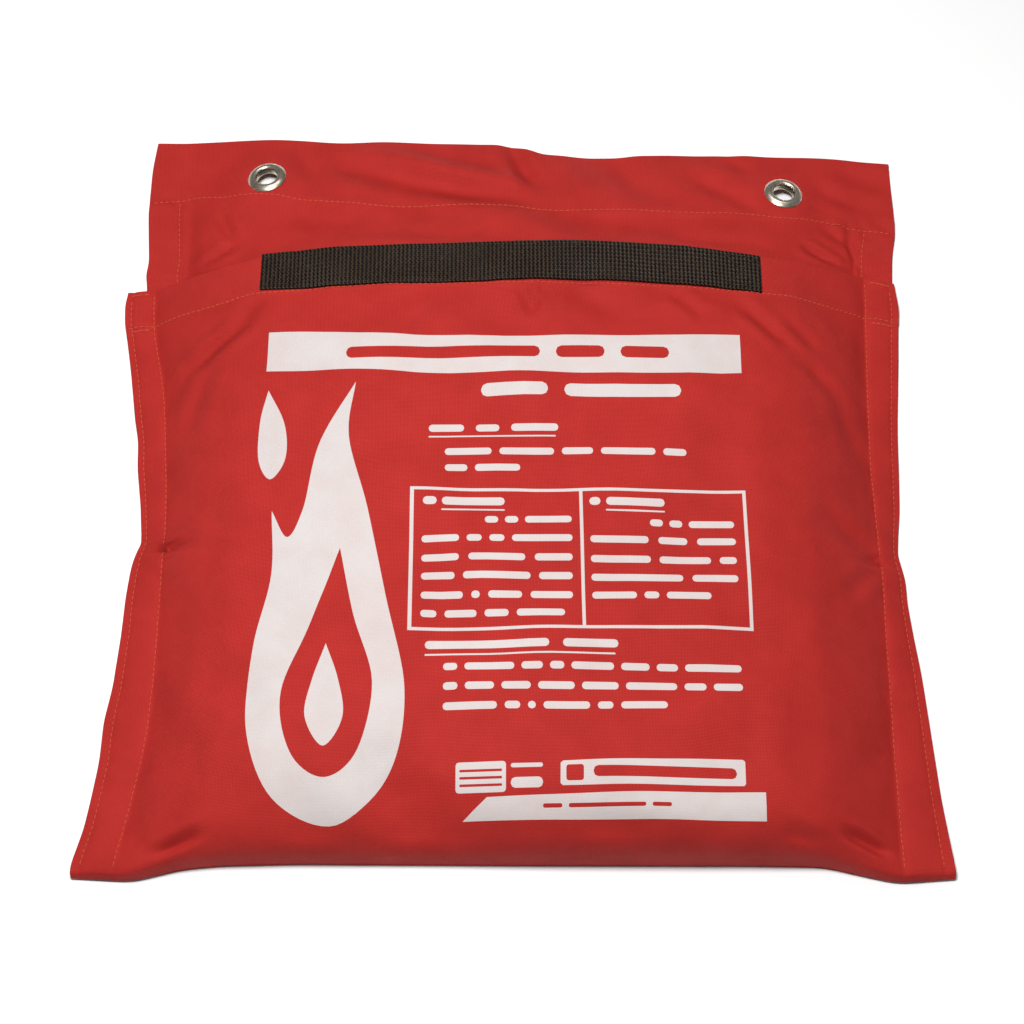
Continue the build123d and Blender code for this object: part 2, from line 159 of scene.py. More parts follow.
WAVES = [(rng.uniform(0, 6.28), rng.uniform(0, math.pi), rng.uniform(36, 120), rng.uniform(0.14, 0.36)) for _ in range(18)]


def relief(x, y, creases):
    z = np.zeros(np.broadcast(x, y).shape)
    for ph, a, wl, amp in WAVES:
        z = z + amp * np.sin(ph + (x * math.cos(a) + y * math.sin(a)) * 2 * math.pi / wl)
    for x0, y0, x1, y1, w, d in creases:
        dx, dy = x1 - x0, y1 - y0
        n2 = dx * dx + dy * dy
        s = ((x - x0) * dx + (y - y0) * dy) / n2
        n = np.abs((x - x0) * dy - (y - y0) * dx) / math.sqrt(n2)
        along = np.exp(-np.abs((s - 0.5) / 0.52) ** 4.0)
        z = z + d * along * (np.exp(-(n / w) ** 2) - 0.42 * np.exp(-((n - 1.9 * w) / (0.9 * w)) ** 2))
    return z


def plan(u, v):
    """Where the nominal point (u, v) of the pouch's cloth lies."""
    xl, xr = X_LS(v), X_RS(v)
    x = (xl + xr) / 2 + np.clip(u, -SEAM, SEAM) / SEAM * (xr - xl) / 2
    over = np.clip((np.abs(u) - SEAM) / 22.0, 0, 1)
    x = np.where(u < -SEAM, xl + (X_L(v) - xl) * over, x)
    x = np.where(u > SEAM, xr + (X_R(v) - xr) * over, x)
    y = v + Y_EDGE(x) * sstep((-150 - v) / 70) + Y_LIP(x) * sstep((v - 66) / 64)
    return x, y


def front0(u, v):
    """The front cloth's outer surface before its wrinkles are simulated, in mm."""
    u, v = np.broadcast_arrays(np.asarray(u, float), np.asarray(v, float))
    x, y = plan(u, v)
    t = np.clip(np.abs(u) / SEAM, 0, 1)
    m = np.clip((v - 38) / 92, 0, 1) ** 1.4
    # the arch: full in the pouch, a lens at the mouth
    prof = (1 - m) * full_arch(t) + m * lens_arch(t)
    k = bottom((v + 220) / SHOULDER(x))
    knee = KNEE(v)
    zs = 1.6 + (SEAM_Z(v) - 1.6) * knee
    z = zs + prof * k * (1 - zs / 50.0)
    over = np.clip((np.abs(u) - SEAM) / 22.0, 0, 1)
    ze = 1.7 + (EDGE_Z(v) - 1.7) * knee
    z = np.where(over > 0, ze + (zs - ze) * (1 - over) ** 1.25 + 0.9 * np.sin(math.pi * np.clip((over - 0.05) / 0.75, 0, 1)) ** 0.8 * knee, z)
    # the hem's extra layers, and the grooves its stitches pull
    z = z + 0.9 * sstep((v - 101.6) / 2.2) * (v < 131)
    pull = 0.55 + 0.25 * np.sin(v / 5.3 + np.sin(v / 17.0) * 2) + 0.2 * np.sin(v / 2.9)
    z = z - knee * pull * (0.75 * np.exp(-((np.abs(u) - SEAM - 1.5) / 1.5) ** 2) + 0.35 * np.exp(-((np.abs(u) - HALF + 4.6) / 1.3) ** 2))
    z = z - (0.45 + 0.2 * np.sin(u / 4.7 + np.sin(u / 19.0) * 2)) * np.exp(-((v - 103.9) / 1.3) ** 2)
    # cloth's creases die out at the table
    r = relief(x, y, CREASES)
    free = sstep((z - 1.6) / 7.0) * np.where(v > 116, 0.35 + 0.65 * sstep((130 - v) / 14), 1)
    free = (free + (0.45 * (1 - over ** 2) - free) * sstep(over / 0.4)) * sstep((v + 219.5) / 9)
    z = z + r * free
    return np.stack([x, y, np.maximum(z, (1.7 + (EDGE_Z(v) - 1.7) * knee) * 0.9)], -1)


WRINKLES = None


def front(u, v):
    """The front cloth's outer surface, in mm."""
    p = front0(u, v)
    if WRINKLES is None:
        return p
    us, vs, D = WRINKLES
    u, v = np.broadcast_arrays(np.asarray(u, float), np.asarray(v, float))
    fu = np.clip((u - us[0]) / (us[1] - us[0]), 0, len(us) - 1.0001)
    fv = np.clip((v - vs[0]) / (vs[1] - vs[0]), 0, len(vs) - 1.0001)
    # cubic in both directions, so that no facets show
    def weights(f):
        return np.stack([(-f ** 3 + 3 * f ** 2 - 3 * f + 1) / 6, (3 * f ** 3 - 6 * f ** 2 + 4) / 6, (-3 * f ** 3 + 3 * f ** 2 + 3 * f + 1) / 6, f ** 3 / 6], -1)
    i, j = fu.astype(int), fv.astype(int)
    wu, wv = weights(fu - i), weights(fv - j)
    out = np.zeros(p.shape)
    for b in range(4):
        jj = np.clip(j + b - 1, 0, len(vs) - 1)
        for a in range(4):
            ii = np.clip(i + a - 1, 0, len(us) - 1)
            out += (wv[..., b] * wu[..., a])[..., None] * D[jj, ii]
    inside_ = (np.abs(u) <= SEAM + 0.01) & (v >= vs[0] - 0.01) & (v <= vs[-1] + 0.01)
    return p + out * inside_[..., None]


def simulate():
    """The front cloth between its seams, let go with a little more length than the shape needs and held lightly to it: it buckles into puckers along the seams and soft wrinkles."""
    us, vs = np.linspace(-SEAM, SEAM, 120), np.linspace(-217.5, 101.5, 94)
    U, V = np.meshgrid(us, vs)
    P = front0(U, V)
    n, m = len(us), len(vs)
    idx = np.arange(n * m).reshape(m, n)
    quads = np.stack([idx[:-1, :-1], idx[:-1, 1:], idx[1:, 1:], idx[1:, :-1]], -1).reshape(-1, 4)
    # ten times life size, where Blender's cloth is steadier
    K = 0.01
    me = bpy.data.meshes.new("cloth_sim")
    me.from_pydata((P.reshape(-1, 3) * K).tolist(), [], quads.tolist())
    ob = bpy.data.objects.new("cloth_sim", me)
    bpy.context.scene.collection.objects.link(ob)
    side = np.clip((SEAM - np.abs(U)) / 60.0, 0, 1)
    low = np.clip((V + 217.5) / 50.0, 0, 1)
    high = np.clip((101.5 - V) / 34.0, 0, 1)
    near = 1 - np.minimum(np.minimum(side, low), high)
    rim = (np.abs(U) > SEAM - 1) | (V < -216) | (V > 100)
    hold = np.where(rim, 1.0, 0.05 + 0.05 * (1 - near))
    r2 = np.random.default_rng(3)
    loose = np.clip(near ** 1.6 + 0.12, 0, 1)
    g1, g2 = ob.vertex_groups.new(name="hold"), ob.vertex_groups.new(name="loose")
    for i, (h, l) in enumerate(zip(hold.ravel(), loose.ravel())):
        g1.add([i], float(h), "REPLACE")
        g2.add([i], float(l), "REPLACE")
    # a seeded unevenness starts the buckling
    co = P.reshape(-1, 3).copy()
    co[:, 2] += np.where(rim.ravel(), 0, r2.normal(0, 0.10, n * m))
    me.vertices.foreach_set("co", (co * K).ravel())
    mod = ob.modifiers.new("cloth", "CLOTH")
    c = mod.settings
    c.quality = 7
    c.mass = 0.25
    c.tension_stiffness = c.compression_stiffness = 22
    c.shear_stiffness = 12
    c.bending_stiffness = 0.9
    c.tension_damping = c.compression_damping = 12
    c.bending_damping = 0.8
    c.vertex_group_mass = "hold"
    c.pin_stiffness = 0.55
    c.vertex_group_shrink = "loose"
    c.shrink_min, c.shrink_max = -0.002, -0.06
    c.effector_weights.gravity = 0.0
    mod.collision_settings.use_collision = False
    mod.collision_settings.use_self_collision = False
    mod.point_cache.frame_start, mod.point_cache.frame_end = 1, 26
    sc = bpy.context.scene
    for f in range(1, 25):
        sc.frame_set(f)
    dep = bpy.context.evaluated_depsgraph_get()
    ev = ob.evaluated_get(dep).to_mesh()
    out = np.zeros(n * m * 3)
    ev.vertices.foreach_get("co", out)
    out = out.reshape(m, n, 3) / K
    D = out - P
    size = np.linalg.norm(D, axis=-1, keepdims=True)
    D = D * np.minimum(1, 3.2 / np.maximum(size, 1e-9))
    D[rim] = 0
    D[:2] = D[-2:] = 0
    D[:, :2] = D[:, -2:] = 0
    bpy.data.objects.remove(ob)
    sc.frame_set(1)
    print("WRINKLES mm", round(float(size.mean()), 3), round(float(size.max()), 3))
    return us, vs, D


WRINKLES = simulate()


# ------------------------------------------------------------------ the header cloth: closure, then the hanging header
H_L = table([100, 128, 137, 144, 176, 203, 228], [-219.5, -219.5, -221, -219.4, -221.8, -221, -217.6], 3)
H_R = table([100, 128, 150, 164, 177, 213], [215.5, 216.6, 218, 220.4, 220.4, 219.6], 3)
H_TOP = table([-228, -200, -150, -117, -60, -14, -4, 6, 14, 40, 115, 185, 230], [6.2, 6.4, 7.6, 6.2, 4.6, 3.2, 2.0, -2.4, -4.8, -5.2, -4.0, -5.4, -9.0], 4)
WALL0, WALL1 = 100.6, 104.6
H_ROW = table([-232, -196, -162, -132, -82, 0, 60, 123, 161, 182, 205, 232], np.array([9.0, 12.0, 5.0, 3.8, -3.6, -3.8, -4.0, -5.0, -3.0, -3.2, -7.0, -9.0]) + Y_TOP - 47.0, 7)


# the header hangs a little crooked, and its grommets go with it by a few millimetres
LEAN = {-1: (1.5, 5.4), 1: (1.6, -5.6)}


def grommet_at(s):
    return np.array([s * 152.42 + LEAN[s][0], 190.03 + LEAN[s][1], 11.55])


def grommet_top(s):
    """The cloth's upper face at a grommet: a point and the normal, as the frame has them."""
    n = norm(np.array([s * 0.126, 0.205, 0.9706]))
    return grommet_at(s) + 1.22 * n, n


GROM = {s: grommet_top(s)[0] for s in (-1, 1)}


def head(u, v):
    """The header cloth's upper surface: v runs from the foot of the closure wall to the header's edge."""
    u, v = np.broadcast_arrays(np.asarray(u, float), np.asarray(v, float))
    s = np.clip((v - Y_MOUTH) / (Y_TOP - Y_MOUTH), 0, 1)
    xl, xr = H_L(v), H_R(v)
    x = (xl + xr) / 2 + u / HALF * (xr - xl) / 2
    # flat around the grommets
    y = v + H_TOP(x) * s * s
    near = np.exp(-((((np.abs(x) - 153.0) / 21) ** 2 + ((v - 190.2) / 21) ** 2) ** 2))
    y = y + near * (np.where(x < 0, LEAN[-1][1], LEAN[1][1]) - H_TOP(x) * s * s)
    # height at the mouth, under the hem's layers
    xm, ym = x, np.clip(v, None, Y_MOUTH)
    t = np.clip(np.abs(x) / 207.0, 0, 1)
    a = SEAM_Z(130.0) + lens_arch(t) * (1 - SEAM_Z(130.0) / 50)
    a = a - 5.4
    base = 1.1
    a = base + np.logaddexp(0, (a - base) / 1.3) * 1.3 - 1.3 * math.log(2) * np.exp(-np.clip(a - base, 0, None) / 4)
    a = np.maximum(a, base)
    end = 6.0 - 3.6 * (x / 222) ** 2
    right = sstep((x + 10) / 60)
    fall = s ** (0.74 - 0.04 * right)
    z = a * (1 - fall) + end * fall
    # past the side seams the header droops to the table
    droop = sstep((np.abs(x) - 186) / 22)
    z = z * (1 - droop) + (base + (end - base) * s * 0.55) * droop
    below = sstep((v - 131) / 3)
    z = z - 1.1 * (1 - sstep((v - H_ROW(x) + 2.8) / 2.4)) * (1 - sstep((np.abs(u) - (HALF - 24)) / 2.4)) * below * sstep((z - 1.2) / 2)
    z = z - 0.4 * np.exp(-((v - H_ROW(x)) / 1.3) ** 2) * (0.6 + 0.4 * np.sin(u / 5.1 + 2 * np.sin(u / 21.0)))
    free = sstep((v - 134) / 12) * (0.5 + 0.5 * sstep((z - 1) / 5)) * (1 - 0.8 * near)
    z = z + relief(x, y, HEAD_CREASES) * free
    for g in (-1, 1):
        (px, py, pz), n = grommet_top(g)
        flat = pz - (n[0] * (x - px) + n[1] * (y - py)) / n[2]
        here = near * (np.sign(x) == g)
        z = z * (1 - here) + flat * here
    wall = sstep((v - WALL0) / (WALL1 - WALL0))
    z = base + (z - base) * wall
    return np.stack([x, y, np.maximum(z, base)], -1)


def back(u, v):
    """The back cloth's upper surface, flat on the table and raised at the seams."""
    u, v = np.broadcast_arrays(np.asarray(u, float), np.asarray(v, float))
    x, y = plan(u, v)
    t = np.clip(np.abs(u) / SEAM, 0, 1)
    f = front(u, v)[..., 2] - 0.72 - (EDGE_Z(v) - 1.7) * 0.0
    inner = 0.8 + (SEAM_Z(v) - 0.75 - 0.8) * sstep((t - 0.86) / 0.14) ** 1.5
    z = np.maximum(np.where(np.abs(u) < SEAM, np.minimum(inner, f), f), 0.8)
    return np.stack([x, y, z], -1)


def frame_of(S, u, v, e=0.4):
    """Point, unit tangents along u and v, and unit normal of a surface."""
    p = S(u, v)
    tu = norm(S(u + e, v) - S(u - e, v))
    tv = norm(S(u, v + e) - S(u, v - e))
    return p, tu, tv, norm(np.cross(tu, tv))


# ------------------------------------------------------------------ meshes
def make(name, verts, faces, mats, index=None, normals=None, uv=None):
    """A mesh object from millimetre points. normals: per face corner, in face order; uv: per point, in metres."""
    me = bpy.data.meshes.new(name)
    me.from_pydata((np.asarray(verts, float) * MM).tolist(), [], [tuple(int(i) for i in f) for f in faces])
    for m in mats:
        me.materials.append(m)
    if index is not None:
        me.polygons.foreach_set("material_index", np.asarray(index, np.int32))
    me.polygons.foreach_set("use_smooth", np.ones(len(me.polygons), bool))
    if uv is not None:
        layer = me.uv_layers.new(name="cloth")
        vi = np.zeros(len(me.loops), np.int32)
        me.loops.foreach_get("vertex_index", vi)
        layer.data.foreach_set("uv", np.asarray(uv, np.float32)[vi].ravel())
    me.update()
    if normals is not None:
        me.normals_split_custom_set(norm(np.asarray(normals, float)).tolist())
    ob = bpy.data.objects.new(name, me)
    bpy.context.scene.collection.objects.link(ob)
    return ob


def arcs(S, pts, u_mid=0.0, v_mid=0.0):
    """The flat cut's coordinates of points on a surface, by length along it, so that the weave isn't stretched."""
    ug = np.linspace(pts[:, 0].min(), pts[:, 0].max(), 181)
    vg = np.linspace(pts[:, 1].min(), pts[:, 1].max(), 361)
    U, V = np.meshgrid(ug, vg)
    P = S(U, V)
    du = np.linalg.norm(np.diff(P, axis=1), axis=-1)
    dv = np.linalg.norm(np.diff(P, axis=0), axis=-1)
    A = np.concatenate([np.zeros((len(vg), 1)), np.cumsum(du, 1)], 1)
    B = np.concatenate([np.zeros((1, len(ug))), np.cumsum(dv, 0)], 0)
    A = A - A[:, [np.argmin(abs(ug - u_mid))]]
    B = B - B[[np.argmin(abs(vg - v_mid))], :]
    fu = np.clip((pts[:, 0] - ug[0]) / (ug[1] - ug[0]), 0, len(ug) - 1.001)
    fv = np.clip((pts[:, 1] - vg[0]) / (vg[1] - vg[0]), 0, len(vg) - 1.001)
    i, j = fu.astype(int), fv.astype(int)
    s, t = fu - i, fv - j

    def look(G):
        return G[j, i] * (1 - s) * (1 - t) + G[j, i + 1] * s * (1 - t) + G[j + 1, i] * (1 - s) * t + G[j + 1, i + 1] * s * t
    return np.stack([look(A), look(B)], -1)


def inside(q, p):
    """Which of the points q lie in polygon p."""
    ins = np.zeros(len(q), bool)
    for i in range(len(p)):
        (x0, y0), (x1, y1) = p[i], p[(i + 1) % len(p)]
        if y0 == y1:
            continue
        cross = (y0 > q[:, 1]) != (y1 > q[:, 1])
        ins ^= cross & (q[:, 0] < (x1 - x0) * (q[:, 1] - y0) / (y1 - y0) + x0)
    return ins


def shell(name, S, us, vs, mats, polys=(), holes=(), lip_u=0.0, lip_v0=0.0, lip_v1=0.0, hem_v1=0.0, thick=T):
    """A closed sheet of cloth on surface S, cut along the printed outlines and around the holes.
    us and vs are the grid lines of the flat cut; lip rounds an edge over that length, and hem_v1 folds the v1 edge under by that much."""
    u0, u1, v0, v1 = us[0], us[-1], vs[0], vs[-1]
    r = R_HEM
    us, vs = list(us), list(vs)
    if hem_v1:
        vs += [v1 + r * math.pi * f for f in (0.12, 0.26, 0.4, 0.55, 0.7, 0.85, 1.0)]
        vs += [v1 + r * math.pi + hem_v1 * (i + 1) / max(5, round(hem_v1 / 3.2)) for i in range(max(5, round(hem_v1 / 3.2)))]
    elif lip_v1:
        vs += [v1 + lip_v1 * f for f in (0.35, 0.7, 1.0)]
    if lip_v0:
        vs = [v0 - lip_v0 * f for f in (1.0, 0.7, 0.35)] + vs
    if lip_u:
        us = [u0 - lip_u * f for f in (1.0, 0.7, 0.35)] + us + [u1 + lip_u * f for f in (0.35, 0.7, 1.0)]
    us, vs = np.array(us), np.array(vs)
    U, V = np.meshgrid(us, vs)
    grid = np.stack([U.ravel(), V.ravel()], 1)
    pv, pe = [], []
    for p in list(polys) + list(holes):
        k = len(pv)
        pv += [tuple(q) for q in p]
        pe += [(k + i, k + (i + 1) % len(p)) for i in range(len(p))]
    allp = [Vector((float(a), float(b))) for a, b in pv] + [Vector((float(a), float(b))) for a, b in grid]
    out = delaunay_2d_cdt(allp, pe, [], 0, 1e-5, False)
    pts = np.array([(p.x, p.y) for p in out[0]])
    faces = np.array([f for f in out[2] if len(f) == 3])
    a, b, c = pts[faces[:, 0]], pts[faces[:, 1]], pts[faces[:, 2]]
    area = (b[:, 0] - a[:, 0]) * (c[:, 1] - a[:, 1]) - (b[:, 1] - a[:, 1]) * (c[:, 0] - a[:, 0])
    faces, area = faces[np.abs(area) > 1e-9], area[np.abs(area) > 1e-9]
    faces[area < 0] = faces[area < 0][:, ::-1]
    cen = pts[faces].mean(1)
    inked, gone = np.zeros(len(faces), int), np.zeros(len(faces), bool)
    for group, p in [(0, p) for p in polys] + [(1, p) for p in holes]:
        p = np.array(p, float)
        sel = np.flatnonzero((cen > p.min(0)).all(1) & (cen < p.max(0)).all(1))
        hit = sel[inside(cen[sel], p)]
        if group:
            gone[hit] = True
        else:
            inked[hit] ^= 1
    faces, inked = faces[~gone], inked[~gone]
    used = np.unique(faces)
    to = -np.ones(len(pts), int)
    to[used] = np.arange(len(used))
    faces, pts = to[faces], pts[used]
    # folded or rounded edges start from the surface at the edge
    ub, vb = np.clip(pts[:, 0], u0, u1), np.clip(pts[:, 1], v0, v1)
    eu, ev = pts[:, 0] - ub, pts[:, 1] - vb
    if hem_v1:
        vb = vb - np.clip(ev - r * math.pi, 0, None)
    p, tu, tv, nn = frame_of(S, ub, vb)
    pos, nor = p.copy(), nn.copy()
    for e, tt, hem, on in ((np.abs(eu), tu * np.sign(eu)[:, None], 0, lip_u), (np.clip(ev, 0, None), tv, hem_v1, lip_v1 or hem_v1), (np.clip(-ev, 0, None), -tv, 0, lip_v0)):
        if not on:
            continue
        rr = r if hem else thick + 0.05
        ang = np.minimum(e / rr, math.pi if hem else 1.5)[:, None]
        put = (e > 0)[:, None]
        pos = pos + np.where(put, nn * rr * (np.cos(ang) - 1) + tt * rr * np.sin(ang), 0)
        nor = np.where(put, nn * np.cos(ang) + tt * np.sin(ang), nor)
    nor = norm(nor)
    inner = pos - nor * thick
    n = len(pts)
    e = np.concatenate([faces[:, [0, 1]], faces[:, [1, 2]], faces[:, [2, 0]]])
    key = e[:, 0] * n + e[:, 1]
    rim = e[~np.isin(key, e[:, 1] * n + e[:, 0])]
    side = np.zeros((n, 3))
    d = np.cross(pos[rim[:, 1]] - pos[rim[:, 0]], nor[rim[:, 0]])
    np.add.at(side, rim[:, 0], d)
    np.add.at(side, rim[:, 1], d)
    side = norm(side)
    under = faces[:, ::-1] + n
    wall = np.stack([rim[:, 0], rim[:, 0] + n, rim[:, 1] + n, rim[:, 1]], 1)
    allf = faces.tolist() + under.tolist() + wall.tolist()
    N = np.concatenate([nor[faces].reshape(-1, 3), -nor[under - n].reshape(-1, 3), np.stack([side[rim[:, 0]], side[rim[:, 0]], side[rim[:, 1]], side[rim[:, 1]]], 1).reshape(-1, 3)])
    flat = arcs(S, np.stack([ub, np.clip(pts[:, 1], v0, v1)], 1)) + np.stack([eu, ev], 1)
    ob = make(name, np.concatenate([pos, inner]), allf, mats, np.concatenate([inked, np.zeros(len(faces) + len(rim), int)]), N,
              np.concatenate([flat, flat]) * MM)
    return ob, np.stack([np.tile(ub, 2), np.tile(vb, 2)], -1)


def set_blend(ob, w):
    """Bakes the cloth's placement into its mesh; its weights w are not used."""
    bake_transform(ob)


def w_mouth(u, v):
    """How far the front cloth follows the lifting mouth: the ends stay sewn to the side seams."""
    return sstep((v - 16) / 48) * (1 - sstep((np.abs(u) - 150) / 52))


def w_head(u, v):
    side = sstep((np.abs(u) - 150) / 60)
    y0, y1 = 129.5, 143 + 46 * side
    return sstep((v - y0) / (y1 - y0))


# ------------------------------------------------------------------ the print, as outlines in the flat cut
def to_uv(poly):
    q = np.array(poly, float)
    v = q[:, 1].copy()
    for _ in range(3):
        xl, xr = X_LS(v), X_RS(v)
        u = (q[:, 0] - (xl + xr) / 2) / ((xr - xl) / 2) * SEAM
        v = v + (q[:, 1] - plan(u, v)[1])
    return np.stack([u, v], 1)


def block(x0, y0, x1, y1, r=None, skew=0.0):
    """A rectangle with eased corners."""
    r = min(x1 - x0, y1 - y0) * 0.28 if r is None else r
    a = r * 0.3
    p = [(x0 + r, y0), (x1 - r, y0), (x1 - a, y0 + a), (x1, y0 + r), (x1, y1 - r), (x1 - a, y1 - a), (x1 - r, y1), (x0 + r, y1), (x0 + a, y1 - a), (x0, y1 - r), (x0, y0 + r), (x0 + a, y0 + a)]
    return [(x + skew * (y - y0), y) for x, y in p]


def fine(p, step=6.0):
    """The same outline with points close enough to follow the cloth."""
    out = []
    for i in range(len(p)):
        (x0, y0), (x1, y1) = p[i], p[(i + 1) % len(p)]
        n = max(1, int(math.hypot(x1 - x0, y1 - y0) / step))
        out += [(x0 + (x1 - x0) * k / n, y0 + (y1 - y0) * k / n) for k in range(n)]
    return out


def spline(pts, n=7):
    """A smooth closed outline; a point given with a third value of 0 stays a corner."""
    P = [np.array(q[:2], float) for q in pts]
    sharp = [len(q) > 2 for q in pts]
    out = []
    for i in range(len(P)):
        a, b = P[i], P[(i + 1) % len(P)]
        before, after = P[i - 1], P[(i + 2) % len(P)]
        ta = (b - a) * 0.9 if sharp[i] else (b - before) * 0.5
        tb = (b - a) * 0.9 if sharp[(i + 1) % len(P)] else (after - a) * 0.5
        for k in range(n):
            t = k / n
            out.append(tuple((2 * t ** 3 - 3 * t * t + 1) * a + (t ** 3 - 2 * t * t + t) * ta + (3 * t * t - 2 * t ** 3) * b + (t ** 3 - t * t) * tb))
    return out


PRINT = []


def words(x0, x1, y0, h, counts, rise=0.0):
    """A line of plain bars in place of the lettering, one for each word: counts are the words' lengths, h the bars' height."""
    space = 1.0
    k = (x1 - x0) / (sum(counts) + space * (len(counts) - 1))
    h2, x = h * (0.74 + 0.2 * rise), x0
    y0 = y0 + 0.14 * h
    for c in counts:
        PRINT.append(fine(block(x, y0, x + c * k, y0 + h2, h2 * 0.42), 8))
        x += (c + space) * k


# banner, with the words left in the cloth's red
PRINT.append(fine([(-143, 52.8), (-120, 50.9), (-90, 49.0), (-60, 47.2), (-20, 47.0), (40, 46.9), (86, 47.3), (110, 48.8), (121.4, 49.8),
                   (121.2, 73.6), (86, 71.4), (60, 70.4), (10, 69.8), (-37, 70.0), (-60, 70.6), (-110, 74.1), (-133, 76.2), (-142.4, 77.0)]))
words(-98, 81, 55.0, 8.8, [12, 3, 3], 0.36)
# title
words(-23, 87, 31.0, 9.6, [4, 7], 0.36)
# first heading and its lines
words(-51.5, 19.2, 10.0, 5.9, [3, 2, 4], 0.0)
PRINT.append(fine(block(-51.5, 7.5, 17.8, 8.4, 0.2), 8))
words(-42.6, 89, -3.9, 5.1, [6, 7, 4, 7, 3], 0.32)
words(-42.5, -1.6, -13.6, 5.1, [3, 6], 0.32)
# the box and its divider
PRINT.append(fine([(-61.0, -22.9), (30, -23.6), (120.3, -23.2), (121.8, -103.7), (30, -104.9), (-61.2, -105.1)], 8))
PRINT.append(fine([(-58.9, -24.7), (30.1, -25.4), (31.2, -103.1), (-59.1, -103.3)], 8))
PRINT.append(fine([(31.9, -25.4), (118.5, -25.0), (119.9, -101.9), (33.0, -103.1)], 8))
words(-54, -46.6, -34.3, 6.4, [2], 0.0)
words(-43.8, -10, -34.3, 6.4, [6], 0.0)
PRINT.append(block(-44, -36.7, -10, -35.8, 0.2))
words(-20.6, 26, -44.7, 5.0, [2, 2, 7], 0.32)
for y, c, x1 in ((-55.8, [5, 2, 2, 8], 26.3), (-66.8, [4, 6, 4], 26.3), (-77.2, [4, 8, 4], 26.3), (-88.0, [5, 1, 4, 5], 26.3), (-98.2, [2, 4, 3, 6], 22)):
    words(-54.5, x1, y, 5.0, c, 0.32)
words(35.6, 41.5, -34.8, 6.4, [2], 0.0)
words(44.6, 76.2, -34.8, 6.4, [6], 0.0)
PRINT.append(block(44.4, -37.2, 76.2, -36.3, 0.2))
words(68, 113.4, -46.3, 5.0, [2, 2, 7], 0.32)
for y, c, x0, x1 in ((-56.3, [6, 3, 4], 35.8, 114), (-67.4, [7, 6, 2], 36, 114), (-77.9, [10, 5], 36.2, 114.4), (-88.1, [6, 2, 6], 36.5, 99.7)):
    words(x0, x1, y, 5.0, c, 0.32)
# note
words(-51.8, 49.8, -116.3, 6.2, [9, 4], 0.0)
PRINT.append(fine(block(-51.8, -119.2, 48.2, -118.2, 0.2), 8))
for y, c, x1 in ((-128.4, [2, 7, 3, 2, 6, 4, 3, 8], 114.5), (-139.2, [2, 4, 4, 5, 5, 7, 3, 4], 114.6), (-149.9, [7, 2, 1, 6, 2, 6], 75)):
    words(-42, x1, y, 5.1, c, 0.32)
# two plain marks, a barred panel and a framed row of blocks
PRINT.append(block(-35, -192.4, -9, -176.8, 1.6))
for y in (-188.8, -185.1, -181.4):
    PRINT.append(block(-33, y - 0.6, -11, y + 0.7, 0.4))
words(-6.5, 10, -180.8, 3.0, [5], 0.0)
words(-6.5, 10, -191.6, 7.2, [3], 0.0)
PRINT.append(fine([(20.2, -189.7), (113.6, -189.3), (114.6, -188.2), (114.5, -176.4), (113.3, -175.4), (20.4, -177.3), (19.1, -178.4), (19.0, -188.6)], 8))
words(36, 110, -186.8, 7.6, [6], 0.0)
PRINT.append(block(22, -187.4, 31, -179.4, 1.2))
# footer bar with a cut end
PRINT.append(fine([(-31.5, -205.4), (-18.8, -194.6), (40, -193.4), (124.7, -192.4), (125.1, -206.4), (60, -206.1)]))
words(10, 76, -200.7, 2.6, [3, 12, 3], 0.2)

# a plain flame of this part's own drawing, in three tongues with a drop left open inside
PRINT.append(spline([(-92, 41, 0), (-95, 8), (-84, -34), (-73, -86), (-62, -138), (-69, -181), (-97, -207), (-130, -194), (-145, -156), (-143, -112), (-135, -70), (-136, -34, 0),
                     (-127, -50), (-119, -34), (-112, 4)], 9))
PRINT.append(spline([(-98, -58, 0), (-90, -96), (-79, -134), (-86, -170), (-103, -184), (-121, -171), (-127, -138), (-112, -98)], 9))
PRINT.append(spline([(-104, -112, 0), (-97, -132), (-94, -153), (-104, -168), (-114, -152), (-111, -132)], 8))
PRINT.append(spline([(-141, 40, 0), (-131, 18), (-130, -2), (-138, -14), (-145, -2), (-145, 20)], 8))
PRINT = [to_uv(p).tolist() for p in PRINT]
INK = PRINT


# ------------------------------------------------------------------ node materials
def srgb(r, g, b):
    f = lambda c: c / 12.92 if c <= 0.04045 else ((c + 0.055) / 1.055) ** 2.4
    return (f(r / 255), f(g / 255), f(b / 255), 1.0)


